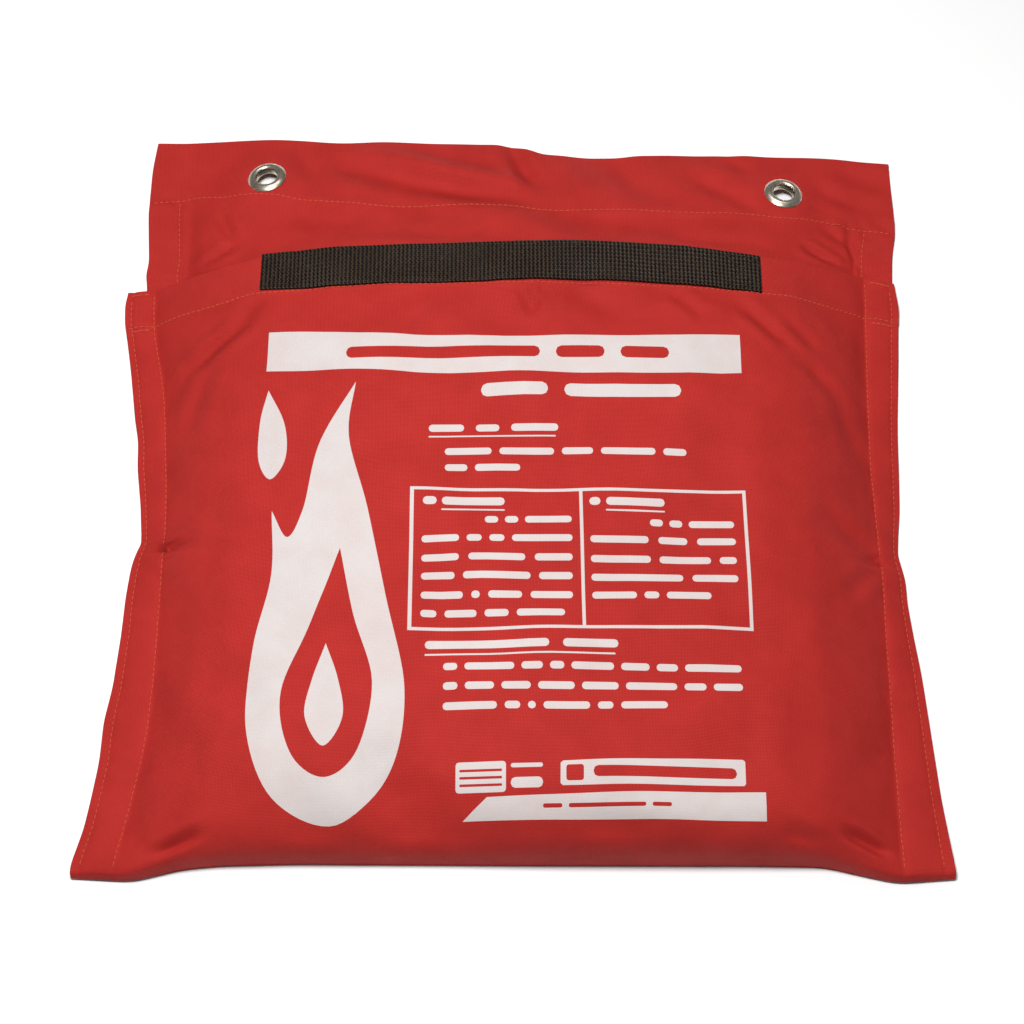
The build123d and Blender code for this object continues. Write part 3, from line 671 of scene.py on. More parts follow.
class Nodes:
    def __init__(self, name):
        self.mat = bpy.data.materials.new(name)
        self.mat.use_nodes = True
        self.t = self.mat.node_tree
        self.bsdf = self.t.nodes["Principled BSDF"]

    def new(self, kind, **props):
        n = self.t.nodes.new(kind)
        for k, v in props.items():
            setattr(n, k, v)
        return n

    def put(self, socket, value):
        if hasattr(value, "links"):
            self.t.links.new(value, socket)
        else:
            socket.default_value = value

    def math(self, op, a, b=0.0, c=None, clamp=False):
        n = self.new("ShaderNodeMath", operation=op, use_clamp=clamp)
        self.put(n.inputs[0], a)
        self.put(n.inputs[1], b)
        if c is not None:
            self.put(n.inputs[2], c)
        return n.outputs[0]

    def noise(self, vector, scale, detail=3.0, rough=0.5):
        n = self.new("ShaderNodeTexNoise")
        self.put(n.inputs["Vector"], vector)
        n.inputs["Scale"].default_value = scale
        n.inputs["Detail"].default_value = detail
        n.inputs["Roughness"].default_value = rough
        return n.outputs["Fac"]

    def mix(self, fac, a, b, blend="MIX"):
        n = self.new("ShaderNodeMix", data_type="RGBA", blend_type=blend)
        self.put(n.inputs["Factor"], fac)
        col = [i for i in n.inputs if i.type == "RGBA"]
        self.put(col[0], a)
        self.put(col[1], b)
        return [o for o in n.outputs if o.type == "RGBA"][0]

    def ramp(self, value, a, b):
        """value from a..b to 0..1."""
        n = self.new("ShaderNodeMapRange", clamp=True)
        self.put(n.inputs["Value"], value)
        n.inputs["From Min"].default_value = a
        n.inputs["From Max"].default_value = b
        return n.outputs["Result"]

    def axes(self, vector):
        n = self.new("ShaderNodeSeparateXYZ")
        self.put(n.inputs[0], vector)
        return n.outputs[0], n.outputs[1]

    def bump(self, height, depth, strength=1.0, after=None):
        n = self.new("ShaderNodeBump")
        n.inputs["Strength"].default_value = strength
        n.inputs["Distance"].default_value = depth
        self.put(n.inputs["Height"], height)
        if after is not None:
            self.put(n.inputs["Normal"], after)
        return n.outputs["Normal"]


def cloth_uv(m):
    n = m.new("ShaderNodeUVMap")
    n.uv_map = "cloth"
    return n.outputs["UV"]


def obj_co(m):
    return m.new("ShaderNodeTexCoord").outputs["Object"]


def weave(m, uv, pitch, wobble=0.12):
    x, y = m.axes(uv)
    k = math.pi / pitch
    nx = m.math("MULTIPLY", m.math("SUBTRACT", m.noise(uv, 90.0, 2.0), 0.5), wobble * 6)
    px, py = m.math("ADD", m.math("MULTIPLY", x, k), nx), m.math("ADD", m.math("MULTIPLY", y, k), nx)
    sx, sy = m.math("SINE", px), m.math("SINE", py)
    check = m.math("MULTIPLY", sx, sy)
    ax, ay = m.math("ABSOLUTE", sx), m.math("ABSOLUTE", sy)
    round_ = m.math("MULTIPLY", ax, ay)
    h = m.math("ADD", m.math("MULTIPLY", m.math("POWER", round_, 0.6), 0.7), m.math("MULTIPLY", check, 0.3))
    return h, check, round_


def bag_cloth(name, light, dark, rough, spec, ink=False):
    m = Nodes(name)
    uv, co = cloth_uv(m), obj_co(m)
    h, check, round_ = weave(m, uv, 0.00076)
    big = m.noise(co, 9.0, 3.0)
    mid = m.noise(co, 46.0, 4.0, 0.6)
    fibre = m.noise(co, 1500.0, 2.0, 0.6)
    c = m.mix(m.ramp(big, 0.3, 0.7), light, tuple(a * 0.9 + b * 0.1 for a, b in zip(light, dark)))
    c = m.mix(m.math("MULTIPLY", m.ramp(mid, 0.35, 0.75), 0.16), c, dark)
    # painted shade: the weave's hollows between the yarns are painted darker; below, its raised checks are painted
    # lighter, a painted highlight
    weave_gap_shade = m.math("SUBTRACT", 1.0, m.ramp(round_, 0.0, 0.45))
    c = m.mix(m.math("MULTIPLY", weave_gap_shade, 0.46 if not ink else 0.13), c, dark)
    # painted highlight on the weave's raised checks
    c = m.mix(m.math("MULTIPLY", m.ramp(check, -0.2, 1.0), 0.12 if not ink else 0.04), c, tuple(min(1.0, a * 1.25 + 0.02) for a in light[:3]) + (1.0,))
    c = m.mix(m.math("MULTIPLY", m.ramp(fibre, 0.5, 0.8), 0.10), c, dark)
    m.put(m.bsdf.inputs["Base Color"], c)
    m.put(m.bsdf.inputs["Roughness"], m.math("ADD", rough, m.math("MULTIPLY", m.math("SUBTRACT", mid, 0.5), 0.18)))
    m.bsdf.inputs["Specular IOR Level"].default_value = spec
    m.bsdf.inputs["Sheen Weight"].default_value = 0.0
    n1 = m.bump(m.noise(co, 260.0, 4.0, 0.6), 0.00008, 0.5)
    m.put(m.bsdf.inputs["Normal"], m.bump(h, 0.00017 if not ink else 0.00011, 0.9 if not ink else 0.6, n1))
    return m.mat


RED = bag_cloth("red_bag_cloth", srgb(187, 47, 42), srgb(82, 3, 4), 0.64, 0.09)
WHITE = bag_cloth("white_ink_on_cloth", srgb(204, 200, 198), srgb(182, 122, 116), 0.68, 0.10, True)


def thread(name, light, dark):
    m = Nodes(name)
    co = obj_co(m)
    x, y = m.axes(co)
    twist = m.math("SINE", m.math("MULTIPLY", m.math("ADD", x, m.math("MULTIPLY", y, 1.7)), 2 * math.pi / 0.00055))
    # painted shade and highlight: the twist's grooves are painted dark and its ridges light
    c = m.mix(m.ramp(twist, -1.0, 1.0), dark, light)
    c = m.mix(m.math("MULTIPLY", m.ramp(m.noise(co, 400.0), 0.4, 0.7), 0.3), c, dark)
    m.put(m.bsdf.inputs["Base Color"], c)
    m.bsdf.inputs["Roughness"].default_value = 0.5
    m.put(m.bsdf.inputs["Normal"], m.bump(twist, 0.0001, 0.6))
    return m.mat


THREAD = thread("orange_red_thread", srgb(226, 104, 66), srgb(176, 58, 36))
BLACK_THREAD = thread("black_thread", srgb(52, 46, 44), srgb(22, 19, 18))


def web_mat():
    m = Nodes("black_webbing")
    uv, co = cloth_uv(m), obj_co(m)
    x, y = m.axes(uv)
    # herringbone of the yarns across the band, over the ribs that are in the mesh
    a = m.math("SINE", m.math("ADD", m.math("MULTIPLY", x, 2 * math.pi / 0.0023), m.math("MULTIPLY", m.math("ABSOLUTE", m.math("SINE", m.math("MULTIPLY", y, math.pi / 0.00254))), 2.4)))
    b = m.math("ABSOLUTE", m.math("SINE", m.math("MULTIPLY", y, math.pi / 0.00127)))
    fibre = m.noise(co, 900.0, 3.0, 0.65)
    h = m.math("ADD", m.math("MULTIPLY", a, 0.5), m.math("ADD", m.math("MULTIPLY", b, 0.5), m.math("MULTIPLY", fibre, 0.5)))
    # painted shade and highlight: the colour follows that height, near black in the grooves and brown-grey on the
    # yarns' crowns, over the band's own dark colour
    c = m.mix(m.ramp(h, 0.45, 1.35), srgb(3, 2, 2), srgb(76, 60, 47))
    c = m.mix(m.math("MULTIPLY", m.ramp(m.noise(co, 60.0, 3.0), 0.4, 0.7), 0.25), c, srgb(18, 14, 11))
    c = m.mix(m.math("MULTIPLY", m.ramp(m.noise(co, 700.0, 2.0, 0.6), 0.5, 0.75), 0.35), c, srgb(80, 66, 52))
    m.put(m.bsdf.inputs["Base Color"], c)
    m.bsdf.inputs["Roughness"].default_value = 0.45
    m.bsdf.inputs["Specular IOR Level"].default_value = 0.14
    m.put(m.bsdf.inputs["Normal"], m.bump(h, 0.00022, 0.8))
    return m.mat


WEB = web_mat()


def metal_mat():
    m = Nodes("nickel_grommet")
    co = obj_co(m)
    grain = m.noise(co, 1200.0, 3.0, 0.6)
    stain = m.noise(co, 240.0, 4.0, 0.6)
    c = m.mix(m.ramp(stain, 0.42, 0.72), srgb(236, 226, 208), srgb(188, 172, 150))
    m.put(m.bsdf.inputs["Base Color"], c)
    m.bsdf.inputs["Metallic"].default_value = 1.0
    m.put(m.bsdf.inputs["Roughness"], m.math("ADD", 0.20, m.math("MULTIPLY", stain, 0.16)))
    m.put(m.bsdf.inputs["Normal"], m.bump(grain, 0.00003, 0.5))
    return m.mat


NICKEL = metal_mat()


def tape_mat(name, light, dark, hooks):
    m = Nodes(name)
    uv, co = cloth_uv(m), obj_co(m)
    x, y = m.axes(uv)
    if hooks:
        a = m.math("MULTIPLY", m.math("SINE", m.math("MULTIPLY", x, 2 * math.pi / 0.0016)), m.math("SINE", m.math("MULTIPLY", y, 2 * math.pi / 0.0021)))
        h = m.ramp(a, 0.1, 0.9)
    else:
        h = m.noise(co, 700.0, 5.0, 0.75)
    # painted shade and highlight on the hook tape: the hooks' tops painted lighter, the ground between them darker; on
    # the loop tape the pile's tone varies at random
    c = m.mix(h, dark, light)
    c = m.mix(m.math("MULTIPLY", m.noise(co, 80.0), 0.3), c, dark)
    m.put(m.bsdf.inputs["Base Color"], c)
    m.bsdf.inputs["Roughness"].default_value = 0.85
    m.bsdf.inputs["Sheen Weight"].default_value = 0.0 if hooks else 0.3
    m.put(m.bsdf.inputs["Normal"], m.bump(h, 0.0004, 0.9))
    return m.mat


LOOPS = tape_mat("loop_tape_pile", srgb(150, 34, 30), srgb(84, 14, 13), False)
HOOKS = tape_mat("hook_tape_hooks", srgb(168, 46, 40), srgb(96, 18, 16), True)


def wool_mat():
    m = Nodes("grey_wool")
    co = obj_co(m)
    a, b, c_ = m.noise(co, 1100.0, 5.0, 0.7), m.noise(co, 220.0, 4.0, 0.65), m.noise(co, 26.0, 3.0)
    x, y = m.axes(co)
    cross = m.math("MULTIPLY", m.math("SINE", m.math("MULTIPLY", x, math.pi / 0.0011)), m.math("SINE", m.math("MULTIPLY", y, math.pi / 0.0011)))
    h = m.math("ADD", m.math("MULTIPLY", cross, 0.25), m.math("ADD", m.math("MULTIPLY", a, 0.8), m.math("MULTIPLY", b, 0.5)))
    c = m.mix(m.ramp(a, 0.3, 0.7), srgb(96, 95, 92), srgb(158, 156, 150))
    c = m.mix(m.math("MULTIPLY", m.ramp(b, 0.45, 0.7), 0.4), c, srgb(112, 106, 100))
    c = m.mix(m.math("MULTIPLY", m.ramp(c_, 0.3, 0.7), 0.25), c, srgb(120, 118, 114))
    m.put(m.bsdf.inputs["Base Color"], c)
    m.bsdf.inputs["Roughness"].default_value = 0.95
    m.bsdf.inputs["Specular IOR Level"].default_value = 0.15
    m.bsdf.inputs["Sheen Weight"].default_value = 0.35
    m.put(m.bsdf.inputs["Normal"], m.bump(h, 0.0006, 0.8))
    return m.mat


WOOL = wool_mat()

# ------------------------------------------------------------------ the pouch's front cloth
def lines(a, b, step, dense=()):
    """Grid lines from a to b, closer together inside the given spans (from, to, step)."""
    g, x = [a], a
    while x < b - 1e-6:
        st = step
        for p, q, d in dense:
            if p <= x < q:
                st = min(st, d)
        x = min(b, x + st)
        g.append(x)
    if len(g) > 2 and g[-1] - g[-2] < 0.3:
        g.pop(-2)
    return g


EDGE_U = HALF - 0.7
ux = lines(-EDGE_U, EDGE_U, 3.0, [(-EDGE_U, -188, 1.3), (188, EDGE_U, 1.3)])
low = [-220 + 70 * (1 - (1 - q * q) ** (1 / 4.5)) for q in np.linspace(0.0, 0.68, 21)]
low = [v for i, v in enumerate(low) if i == 0 or v - low[0] > 0.004]
vy = low[:-1] + lines(low[-1], Y_MOUTH - R_HEM, 3.0, [(-216, -196, 1.2), (98, Y_MOUTH, 1.4)])
front_cloth, fc = shell("front_cloth", front, ux, vy, [RED, WHITE], polys=INK, lip_u=0.9, lip_v0=0.9, hem_v1=25.6)
set_blend(front_cloth, w_mouth(fc[:, 0], fc[:, 1]))
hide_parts("front_panel", "mouth_corner_left", "mouth_corner_right", "mouth_panel", "mouth_hem", "bottom_fold", "side_seam_left", "side_seam_right")

# ------------------------------------------------------------------ its back cloth
bx = lines(-EDGE_U, EDGE_U, 8.0, [(-EDGE_U, -176, 2.0), (176, EDGE_U, 2.0)])
by = lines(-219.2, Y_MOUTH - 1.2, 8.0, [(-219.2, -216, 0.6), (-216, -205, 2.0), (96, Y_MOUTH, 3.0)])
back_cloth, bc = shell("back_cloth", back, bx, by, [RED], lip_u=0.9, lip_v0=0.9, lip_v1=0.9)
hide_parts("back_panel")
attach(back_cloth, "pouch")

# ------------------------------------------------------------------ the header
VE = Y_TOP - R_HEM
hx = lines(-EDGE_U, EDGE_U, 3.2, [(-EDGE_U, -196, 1.8), (196, EDGE_U, 1.8)])
hy = lines(WALL0, VE, 3.2, [(WALL0, WALL1 + 1, 0.5), (126, 140, 1.6)])
holes = []
for sx in (-1, 1):
    px, py = GROM[sx][0], GROM[sx][1] - LEAN[sx][1]
    gu = (px - (H_L(190.0) + H_R(190.0)) / 2) / ((H_R(190.0) - H_L(190.0)) / 2) * HALF
    for k in range(2):
        cv = py if k == 0 else 2 * VE + R_HEM * math.pi - py
        holes.append([(gu + 7.9 * math.cos(2 * math.pi * i / 32), cv + 7.9 * math.sin(2 * math.pi * i / 32)) for i in range(32)])
header_cloth, hc = shell("header_cloth", head, hx, hy, [RED], holes=holes, lip_u=0.9, hem_v1=46.5)
set_blend(header_cloth, w_head(hc[:, 0], hc[:, 1]))
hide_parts("closure_wall", "closure_facing", "header_panel", "header_hem")


def under(S, d):
    """The surface S moved along its own normal."""
    def f(u, v):
        p, _, _, n = frame_of(S, np.asarray(u, float), np.asarray(v, float))
        return p + n * d
    return f


side_u = 20.6
for s, side in ((-1, "left"), (1, "right")):
    a, b = (-EDGE_U + 0.2, -EDGE_U + side_u) if s < 0 else (EDGE_U - side_u, EDGE_U - 0.2)
    ob, w = shell("header_side_hem_" + side + "_cloth", under(head, -(T + 0.22)), lines(a, b, 2.6), lines(107.0, 172.0, 3.2), [RED], lip_u=0.6)
    set_blend(ob, w_head(w[:, 0], w[:, 1]))
    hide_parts("header_side_hem_" + side)


# ------------------------------------------------------------------ sewing
def sew(name, rows, weight, bodies, mat, node=None, pitch=3.3, length=2.6, r=0.27, seed=1):
    """Rows of stitches: each row is (surface, [(u, v), ...], lift). Each stitch is a short bowed thread that dips in at both ends."""
    r2 = np.random.default_rng(seed)
    V, F, N, W = [], [], [], []
    k, m = 6, 7
    for S, path, lift in rows:
        path = np.array(path, float)
        seg = []
        for (a, b) in zip(path[:-1], path[1:]):
            n = max(2, int(np.hypot(*(b - a)) / 0.5))
            seg.append(a + (b - a) * np.linspace(0, 1, n, endpoint=False)[:, None])
        line = np.concatenate(seg + [path[-1:]])
        P, _, _, nn = frame_of(S, line[:, 0], line[:, 1])
        d = np.concatenate([[0], np.cumsum(np.linalg.norm(np.diff(P, axis=0), axis=1))])
        count = int((d[-1] - length * 0.5) / pitch)
        if count < 1:
            continue
        real = d[-1] / (count + 0.02)
        for i in range(count):
            s0 = i * real + r2.uniform(-0.12, 0.12)
            t = np.linspace(s0, s0 + min(length, real * 0.82), m)
            c = np.stack([np.interp(t, d, P[:, j]) for j in range(3)], -1)
            nr = norm(np.stack([np.interp(t, d, nn[:, j]) for j in range(3)], -1))
            uv = np.stack([np.interp(t, d, line[:, j]) for j in range(2)], -1)
            q = np.linspace(-1, 1, m)
            c = c + nr * (lift + r * 0.55 - 0.62 * np.abs(q) ** 4)[:, None]
            tan = norm(np.gradient(c, axis=0))
            sidev = norm(np.cross(nr, tan))
            c = c + sidev * r2.uniform(-0.1, 0.1)
            up = np.cross(tan, sidev)
            rad = r * (1 - 0.55 * np.abs(q) ** 6)
            base = len(V)
            for j in range(m):
                for a in range(k):
                    an = 2 * math.pi * a / k
                    dirv = sidev[j] * math.cos(an) + up[j] * math.sin(an)
                    V.append(c[j] + dirv * rad[j])
                    N.append(dirv)
                    W.append(uv[j])
            for j in range(m - 1):
                for a in range(k):
                    F.append((base + j * k + a, base + (j + 1) * k + a, base + (j + 1) * k + (a + 1) % k, base + j * k + (a + 1) % k))
            F.append(tuple(base + a for a in range(k)))
            F.append(tuple(base + (m - 1) * k + a for a in reversed(range(k))))
    V, W = np.array(V), np.array(W)
    ob = make(name, V, F, [mat], None, None, W * MM)
    if len(bodies) == 2:
        set_blend(ob, weight(W[:, 0], W[:, 1]))
    else:
        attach(ob, bodies[0])
    if node:
        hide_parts(*([node] if isinstance(node, str) else node))
    return ob


IN_ROW, OUT_ROW = SEAM + 1.5, HALF - 4.6
for s, side in ((-1, "left"), (1, "right")):
    sew("seam_thread_" + side, [(front, [(s * IN_ROW, -214), (s * IN_ROW, 127)], 0.0), (front, [(s * OUT_ROW, -214), (s * OUT_ROW, 124)], 0.0)],
        w_mouth, ("pouch",), THREAD, "seam_stitching_" + side, seed=3 + s)
sew("bar_tack_thread", [(front, [(s * (HALF - 3.4 - 0.9 * j), y), (s * (SEAM + 4.0), y + 0.16 * j)], 0.12 + 0.03 * (j % 2)) for s in (-1, 1) for y in (127.0, 101.2) for j in range(3)],
    w_mouth, ("pouch",), THREAD, "bar_tacks", pitch=2.6, length=2.3, seed=8)
sew("hem_thread", [(front, [(-226.5, 103.9), (-100, 104.0), (0, 103.6), (100, 104.0), (226.5, 103.9)], 0.0)], w_mouth, ("pouch", "front_flap"), THREAD, "hem_stitching", seed=9)
sew("header_thread", [(head, [(a, float(H_ROW(a))) for a in np.linspace(-EDGE_U + 2, EDGE_U - 2, 90)], 0.0)] +
    [(head, [(s * (EDGE_U - side_u + 2.2), 107.0), (s * (EDGE_U - side_u + 2.2), float(H_ROW(s * 207.0)) - 1)], 0.0) for s in (-1, 1)],
    w_head, ("pouch", "header"), THREAD, "header_stitching", seed=10)

# ------------------------------------------------------------------ the pull strap, ribbed webbing sewn at both ends
WX, WL, WY, WW = -6.6, 284.6, 117.1, 25.4
WT = 1.5


def strap_line(x):
    """The band's middle line across the front: a little slack, so it bows very slightly."""
    return WY + 0.4 + 0.9 * np.sin((x - WX) / WL * math.pi * 2.0) - 0.0035 * (x - WX)


def strap(u, v):
    """u along the band, v across it, in mm from its middle."""
    u, v = np.broadcast_arrays(np.asarray(u, float), np.asarray(v, float))
    x = WX + u
    y = strap_line(x) + v
    fu = (x - (X_LS(y) + X_RS(y)) / 2) / ((X_RS(y) - X_LS(y)) / 2) * SEAM
    p = front(fu, y - Y_LIP(x) * sstep((y - 66) / 64))
    free = 1 - sstep((np.abs(u) - 112) / 12)
    slack = 0.35 * np.sin(u / 17.0 + 0.6) * free + 0.25 * np.sin(u / 41.0) * free
    lift = 0.12 + 0.45 * free + slack * 0.6
    return p + np.stack([np.zeros_like(u), np.zeros_like(u), lift], -1)


pitch = 2.30
nu = int(WL / pitch) * 5
U = np.linspace(-WL / 2, WL / 2, nu + 1)
Vv = np.linspace(-WW / 2, WW / 2, 41)
# the weave's waviness across the band and its thicker woven edges
UU, VV = np.meshgrid(U, Vv)
P, tu, tv, nn = frame_of(strap, UU, VV, 0.8)
edge = np.abs(VV) / (WW / 2)
yarn = np.abs(np.sin(math.pi * VV / 2.54))
rib = np.sin(2 * math.pi * UU / pitch + 2.2 * yarn)
thick = WT * (1 - 0.35 * np.clip((edge - 0.93) / 0.07, 0, 1) ** 2)
end_round = 1 - 0.18 * np.clip((np.abs(UU) - (WL / 2 - 0.8)) / 0.8, 0, 1) ** 2
hgt = thick * end_round - 0.20 + 0.22 * rib * (0.55 + 0.45 * yarn) + 0.10 * (yarn - 0.5) + 0.10 * (edge > 0.9)
wavy = 0.12 * np.sin(2 * math.pi * UU / pitch) * (edge > 0.985)
top = P + nn * hgt[..., None] + tv * (np.sign(VV) * wavy)[..., None]
low = P + nn * 0.02
m_, n_ = UU.shape
idx = np.arange(m_ * n_).reshape(m_, n_)
quad = np.stack([idx[:-1, :-1], idx[:-1, 1:], idx[1:, 1:], idx[1:, :-1]], -1).reshape(-1, 4)
ring = np.concatenate([idx[0, :-1], idx[:-1, -1], idx[-1, :0:-1], idx[:0:-1, 0]])
wall = np.stack([ring, ring + m_ * n_, np.roll(ring, -1) + m_ * n_, np.roll(ring, -1)], 1)
faces = quad.tolist() + (quad[:, ::-1] + m_ * n_).tolist() + wall.tolist()
uvs = np.stack([UU.ravel(), VV.ravel()], 1) * MM
webbing = make("pull_strap_webbing", np.concatenate([top.reshape(-1, 3), low.reshape(-1, 3)]), faces, [WEB], None, None, np.concatenate([uvs, uvs]))
flat_w = np.concatenate([UU.ravel(), UU.ravel()])
bow = np.clip(1 - (np.clip(np.abs(flat_w) - 6, 0, None) / 114.0) ** 2, 0, 1) ** 1.5
set_blend(webbing, bow)
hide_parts("pull_strap", "strap_end_left", "strap_end_right")

# its box stitches, in black thread, at both sewn ends
rows = []
for s in (-1, 1):
    a, b, c = s * (WL / 2 - 2.6), s * (WL / 2 - 20.5), WW / 2 - 2.6
    rows += [(strap, [(a, -c), (a, c)], WT + 0.02), (strap, [(b, -c), (b, c)], WT + 0.02), (strap, [(a, -c), (b, -c)], WT + 0.02), (strap, [(a, c), (b, c)], WT + 0.02),
             (strap, [(a, -c), (b, c)], WT + 0.02), (strap, [(a, c), (b, -c)], WT + 0.02)]
sew("strap_thread", rows, None, ("front_flap",), BLACK_THREAD, "strap_stitching", pitch=2.6, length=2.1, r=0.25, seed=12)


# ------------------------------------------------------------------ hook and loop tape inside the mouth
def tape(name, S, d, thick, mat, node, weight, sign):
    """A tape of pile or hooks on one side: its fluff is in the mesh as well as the material."""
    r2 = np.random.default_rng(21)
    us_, vs_ = lines(-149.4, 149.4, 2.0), lines(108.4, 127.6, 1.2)
    ob, w = shell(name, under(S, d), us_, vs_, [mat], lip_u=0.5, lip_v0=0.5, lip_v1=0.5, thick=thick)
    me = ob.data
    co = np.zeros(len(me.vertices) * 3)
    me.vertices.foreach_get("co", co)
    co = co.reshape(-1, 3)
    n = len(co) // 2
    j = slice(0, n) if sign > 0 else slice(n, 2 * n)
    co[j, 2] += sign * r2.uniform(-0.00008, 0.00022, n)
    me.vertices.foreach_set("co", co.ravel())
    set_blend(ob, weight(w[:, 0], w[:, 1]))
    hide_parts(node)
    return ob


tape("loop_tape_strip", head, 1.62, 1.5, LOOPS, "loop_tape", w_head, 1)
tape("hook_tape_strip", front, -(2 * R_HEM + 0.12), 1.4, HOOKS, "hook_tape", w_mouth, -1)

# ------------------------------------------------------------------ rolled grommets
PROFILE = [(6.35, -2.0), (6.32, -0.8), (6.30, 0.6), (6.33, 1.6), (6.46, 2.2), (6.78, 2.72), (7.3, 3.02), (8.0, 3.14), (8.8, 3.06), (9.6, 2.78), (10.4, 2.34), (11.0, 1.88), (11.36, 1.52),
           (11.48, 1.34), (11.40, 1.26), (11.1, 1.24), (9.0, 1.22), (7.4, 1.22), (7.15, 1.0), (7.15, -0.6), (7.12, -1.6), (7.0, -2.0)]
WASHER = [(7.25, -0.42), (8.0, -0.36), (9.6, -0.34), (10.7, -0.42), (11.0, -0.7), (10.8, -0.98), (9.6, -1.14), (8.0, -1.1), (7.5, -1.3), (7.25, -1.2)]


def lathe(name, profile, centre, axis, node, seed):
    r2 = np.random.default_rng(seed)
    axis = Vector(axis).normalized()
    ax = axis.orthogonal().normalized()
    ay = axis.cross(ax)
    k = 72
    pr = np.array(profile)
    # the rolled edge, rounded between its few points
    dense = []
    for i in range(len(pr)):
        p0, p1, p2, p3 = pr[i - 1], pr[i], pr[(i + 1) % len(pr)], pr[(i + 2) % len(pr)]
        for t in (0.0, 0.5):
            dense.append(0.5 * (2 * p1 + (p2 - p0) * t + (2 * p0 - 5 * p1 + 4 * p2 - p3) * t * t + (3 * p1 - p0 - 3 * p2 + p3) * t ** 3))
    V, F = [], []
    dents = [(r2.uniform(0, 6.28), r2.uniform(0.2, 0.5), r2.uniform(-0.06, 0.03)) for _ in range(7)]
    for i in range(k):
        a = 2 * math.pi * i / k
        dz = sum(dd * math.exp(-((((a - c + math.pi) % (2 * math.pi)) - math.pi) / w) ** 2) for c, w, dd in dents)
        for r_, h_ in dense:
            p = Vector(centre) + (ax * math.cos(a) + ay * math.sin(a)) * r_ + axis * (h_ + (dz if h_ > 1.5 and r_ > 8 else 0))
            V.append(tuple(p))
    n = len(dense)
    for i in range(k):
        for j in range(n):
            F.append((i * n + j, i * n + (j + 1) % n, ((i + 1) % k) * n + (j + 1) % n, ((i + 1) % k) * n + j))
    ob = make(name, V, F, [NICKEL])
    # faces point outwards
    import bmesh
    bm = bmesh.new()
    bm.from_mesh(ob.data)
    bmesh.ops.recalc_face_normals(bm, faces=bm.faces)
    bm.to_mesh(ob.data)
    bm.free()
    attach(ob, "header")
    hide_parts(node)
    return ob


for s, side in ((-1, "left"), (1, "right")):
    o = tuple(float(q) for q in grommet_at(s))
    nrm = (s * 0.126, 0.205, 0.9706)
    lathe("grommet_" + side + "_rolled", PROFILE, o, nrm, "grommet_" + side, 30 + s)
    lathe("grommet_" + side + "_collar", WASHER, o, nrm, "grommet_washer_" + side, 40 + s)

# ------------------------------------------------------------------ the wool blanket, folded to fit the pouch
LAYERS = 28
BX, BY0, BY1 = 183.6, -209.6, 95.6


def blanket_top(x, y):
    """Upper face of the pack: as high as the frame's, and always under the front cloth."""
    t = np.clip(np.abs(x) / 207.0, 0, 1)
    m = np.clip((y - 38) / 92, 0, 1)
    full = 41.0 - 9.0 * sstep((t - 0.62) / 0.27)
    lens = 39.5 - 19.5 * sstep((t - 0.15) / 0.72)
    z = full * (1 - m) + lens * m
    u = (x - (X_LS(y) + X_RS(y)) / 2) / ((X_RS(y) - X_LS(y)) / 2) * SEAM
    room = front(u, y)[..., 2] - 2.6
    room = np.minimum(room, front(u * 1.03, y)[..., 2] - 2.6)
    room = np.minimum(room, front(u, y - 3.0)[..., 2] - 2.6)
    return np.maximum(np.minimum(z, room), 3.0)


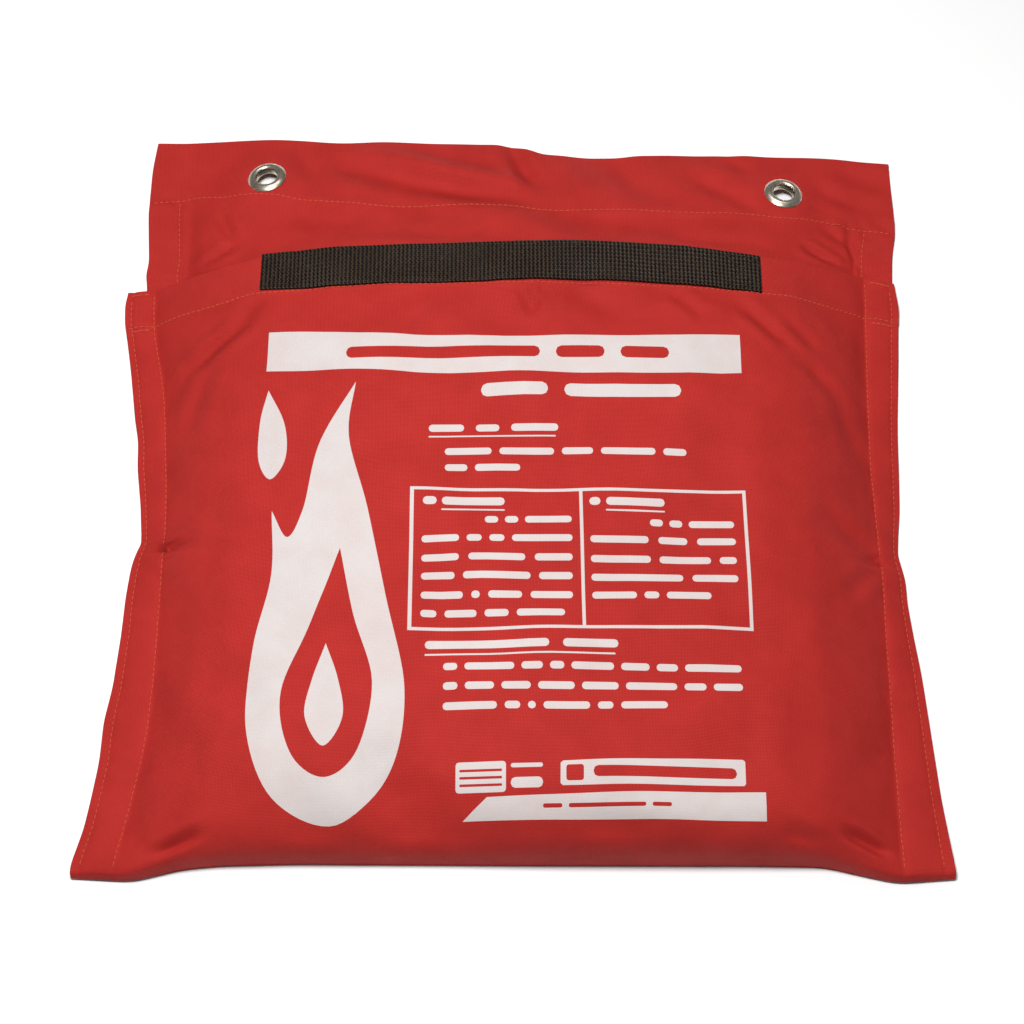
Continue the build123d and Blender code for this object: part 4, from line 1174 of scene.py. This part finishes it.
def wool_layers():
    r2 = np.random.default_rng(5)
    V, F, N = [], [], []
    nx, ny = 41, 35
    for i in range(LAYERS):
        hx, hy = BX - r2.uniform(0, 2.6), (BY1 - BY0) / 2 - r2.uniform(0, 2.2)
        cx, cy = r2.uniform(-0.9, 0.9) * (BX - hx) / 1.3, (BY0 + BY1) / 2 + r2.uniform(-0.8, 0.8)
        hx, hy = min(hx, BX - abs(cx)), min(hy, (BY1 - BY0) / 2 - abs(cy - (BY0 + BY1) / 2))
        a = np.concatenate([[-1, -0.9985, -0.995], np.linspace(-0.985, 0.985, nx - 6), [0.995, 0.9985, 1]])
        b = np.concatenate([[-1, -0.9985, -0.995], np.linspace(-0.985, 0.985, ny - 6), [0.995, 0.9985, 1]])
        A, B = np.meshgrid(a, b)
        ph = r2.uniform(0, 6.28, 4)
        x = cx + A * hx + 0.7 * np.sin(B * 5 + ph[0]) * A
        y = cy + B * hy + 0.7 * np.sin(A * 6 + ph[1]) * B
        x, y = np.clip(x, -BX, BX), np.clip(y, BY0, BY1)
        z0, z1 = 1.75, blanket_top(x, y) - 0.15
        th = (z1 - z0) / LAYERS
        mid = z0 + th * (i + 0.5)
        wob = 0.10 * th * np.sin(A * 9 + ph[2]) * np.cos(B * 7 + ph[3])
        rim = np.minimum(1, np.sqrt(np.clip(1 - ((np.abs(A) - 0.985) / 0.0152).clip(0) ** 2, 0, 1))) * np.minimum(1, np.sqrt(np.clip(1 - ((np.abs(B) - 0.985) / 0.0152).clip(0) ** 2, 0, 1)))
        half = th * 0.47 * np.maximum(rim, 0.10)
        up = np.stack([x, y, mid + wob + half], -1).reshape(-1, 3)
        dn = np.stack([x, y, mid + wob - half], -1).reshape(-1, 3)
        base = sum(len(v) for v in V)
        n = len(up)
        idx = np.arange(n).reshape(len(b), len(a))
        q = np.stack([idx[:-1, :-1], idx[:-1, 1:], idx[1:, 1:], idx[1:, :-1]], -1).reshape(-1, 4)
        ring = np.concatenate([idx[0, :-1], idx[:-1, -1], idx[-1, :0:-1], idx[:0:-1, 0]])
        wl = np.stack([ring, ring + n, np.roll(ring, -1) + n, np.roll(ring, -1)], 1)
        V += [up, dn]
        F += [q + base, q[:, ::-1] + base + n, wl + base]
    return np.concatenate(V), np.concatenate(F).tolist()


bv, bf = wool_layers()
wool = make("folded_wool_blanket", bv, bf, [WOOL])
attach(wool, "blanket")
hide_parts("folded_blanket")

# ------------------------------------------------------------------ floor, light, camera
bpy.ops.mesh.primitive_plane_add(size=6.0, location=(0, 0, -0.0002))
floor = bpy.context.object
floor.name = "floor"
fm = Nodes("pale_floor")
fco = obj_co(fm)
fm.put(fm.bsdf.inputs["Base Color"], fm.mix(fm.noise(fco, 3.0), (0.90, 0.90, 0.90, 1), (0.92, 0.92, 0.92, 1)))
fm.bsdf.inputs["Roughness"].default_value = 0.9
fm.bsdf.inputs["Specular IOR Level"].default_value = 0.1
floor.data.materials.append(fm.mat)
floor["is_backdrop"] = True

world = bpy.data.worlds.new("studio")
bpy.context.scene.world = world
world.use_nodes = True
world.node_tree.nodes["Background"].inputs[0].default_value = (1.0, 0.99, 0.98, 1)
world.node_tree.nodes["Background"].inputs[1].default_value = 0.15


def area(name, at, to, size, power, colour=(1, 1, 1)):
    d = bpy.data.lights.new(name, "AREA")
    d.shape = "RECTANGLE"
    d.size, d.size_y = size
    d.energy = power
    d.color = colour
    o = bpy.data.objects.new(name, d)
    o.location = at
    o.rotation_euler = (Vector(to) - Vector(at)).to_track_quat("-Z", "Y").to_euler()
    bpy.context.scene.collection.objects.link(o)
    return o


area("key", (-0.12, -0.06, 1.17), (0, 0, 0), (0.28, 0.28), 15.3)
area("sheen", (0.05, 0.95, 1.9), (0, 0, 0), (1.6, 0.6), 6.6)

ELEV, DIST = math.radians(66.0), 1.345
cam_data = bpy.data.cameras.new("camera")
cam_data.sensor_width = 36.0
cam_data.lens = 84.27
cam = bpy.data.objects.new("camera", cam_data)
cam.location = (-0.006, -0.0155 - DIST * math.cos(ELEV), DIST * math.sin(ELEV))
cam.rotation_euler = (math.pi / 2 - ELEV, 0, 0)
bpy.context.scene.collection.objects.link(cam)
bpy.context.scene.camera = cam
bpy.context.scene.view_settings.view_transform = "Standard"

lo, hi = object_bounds()
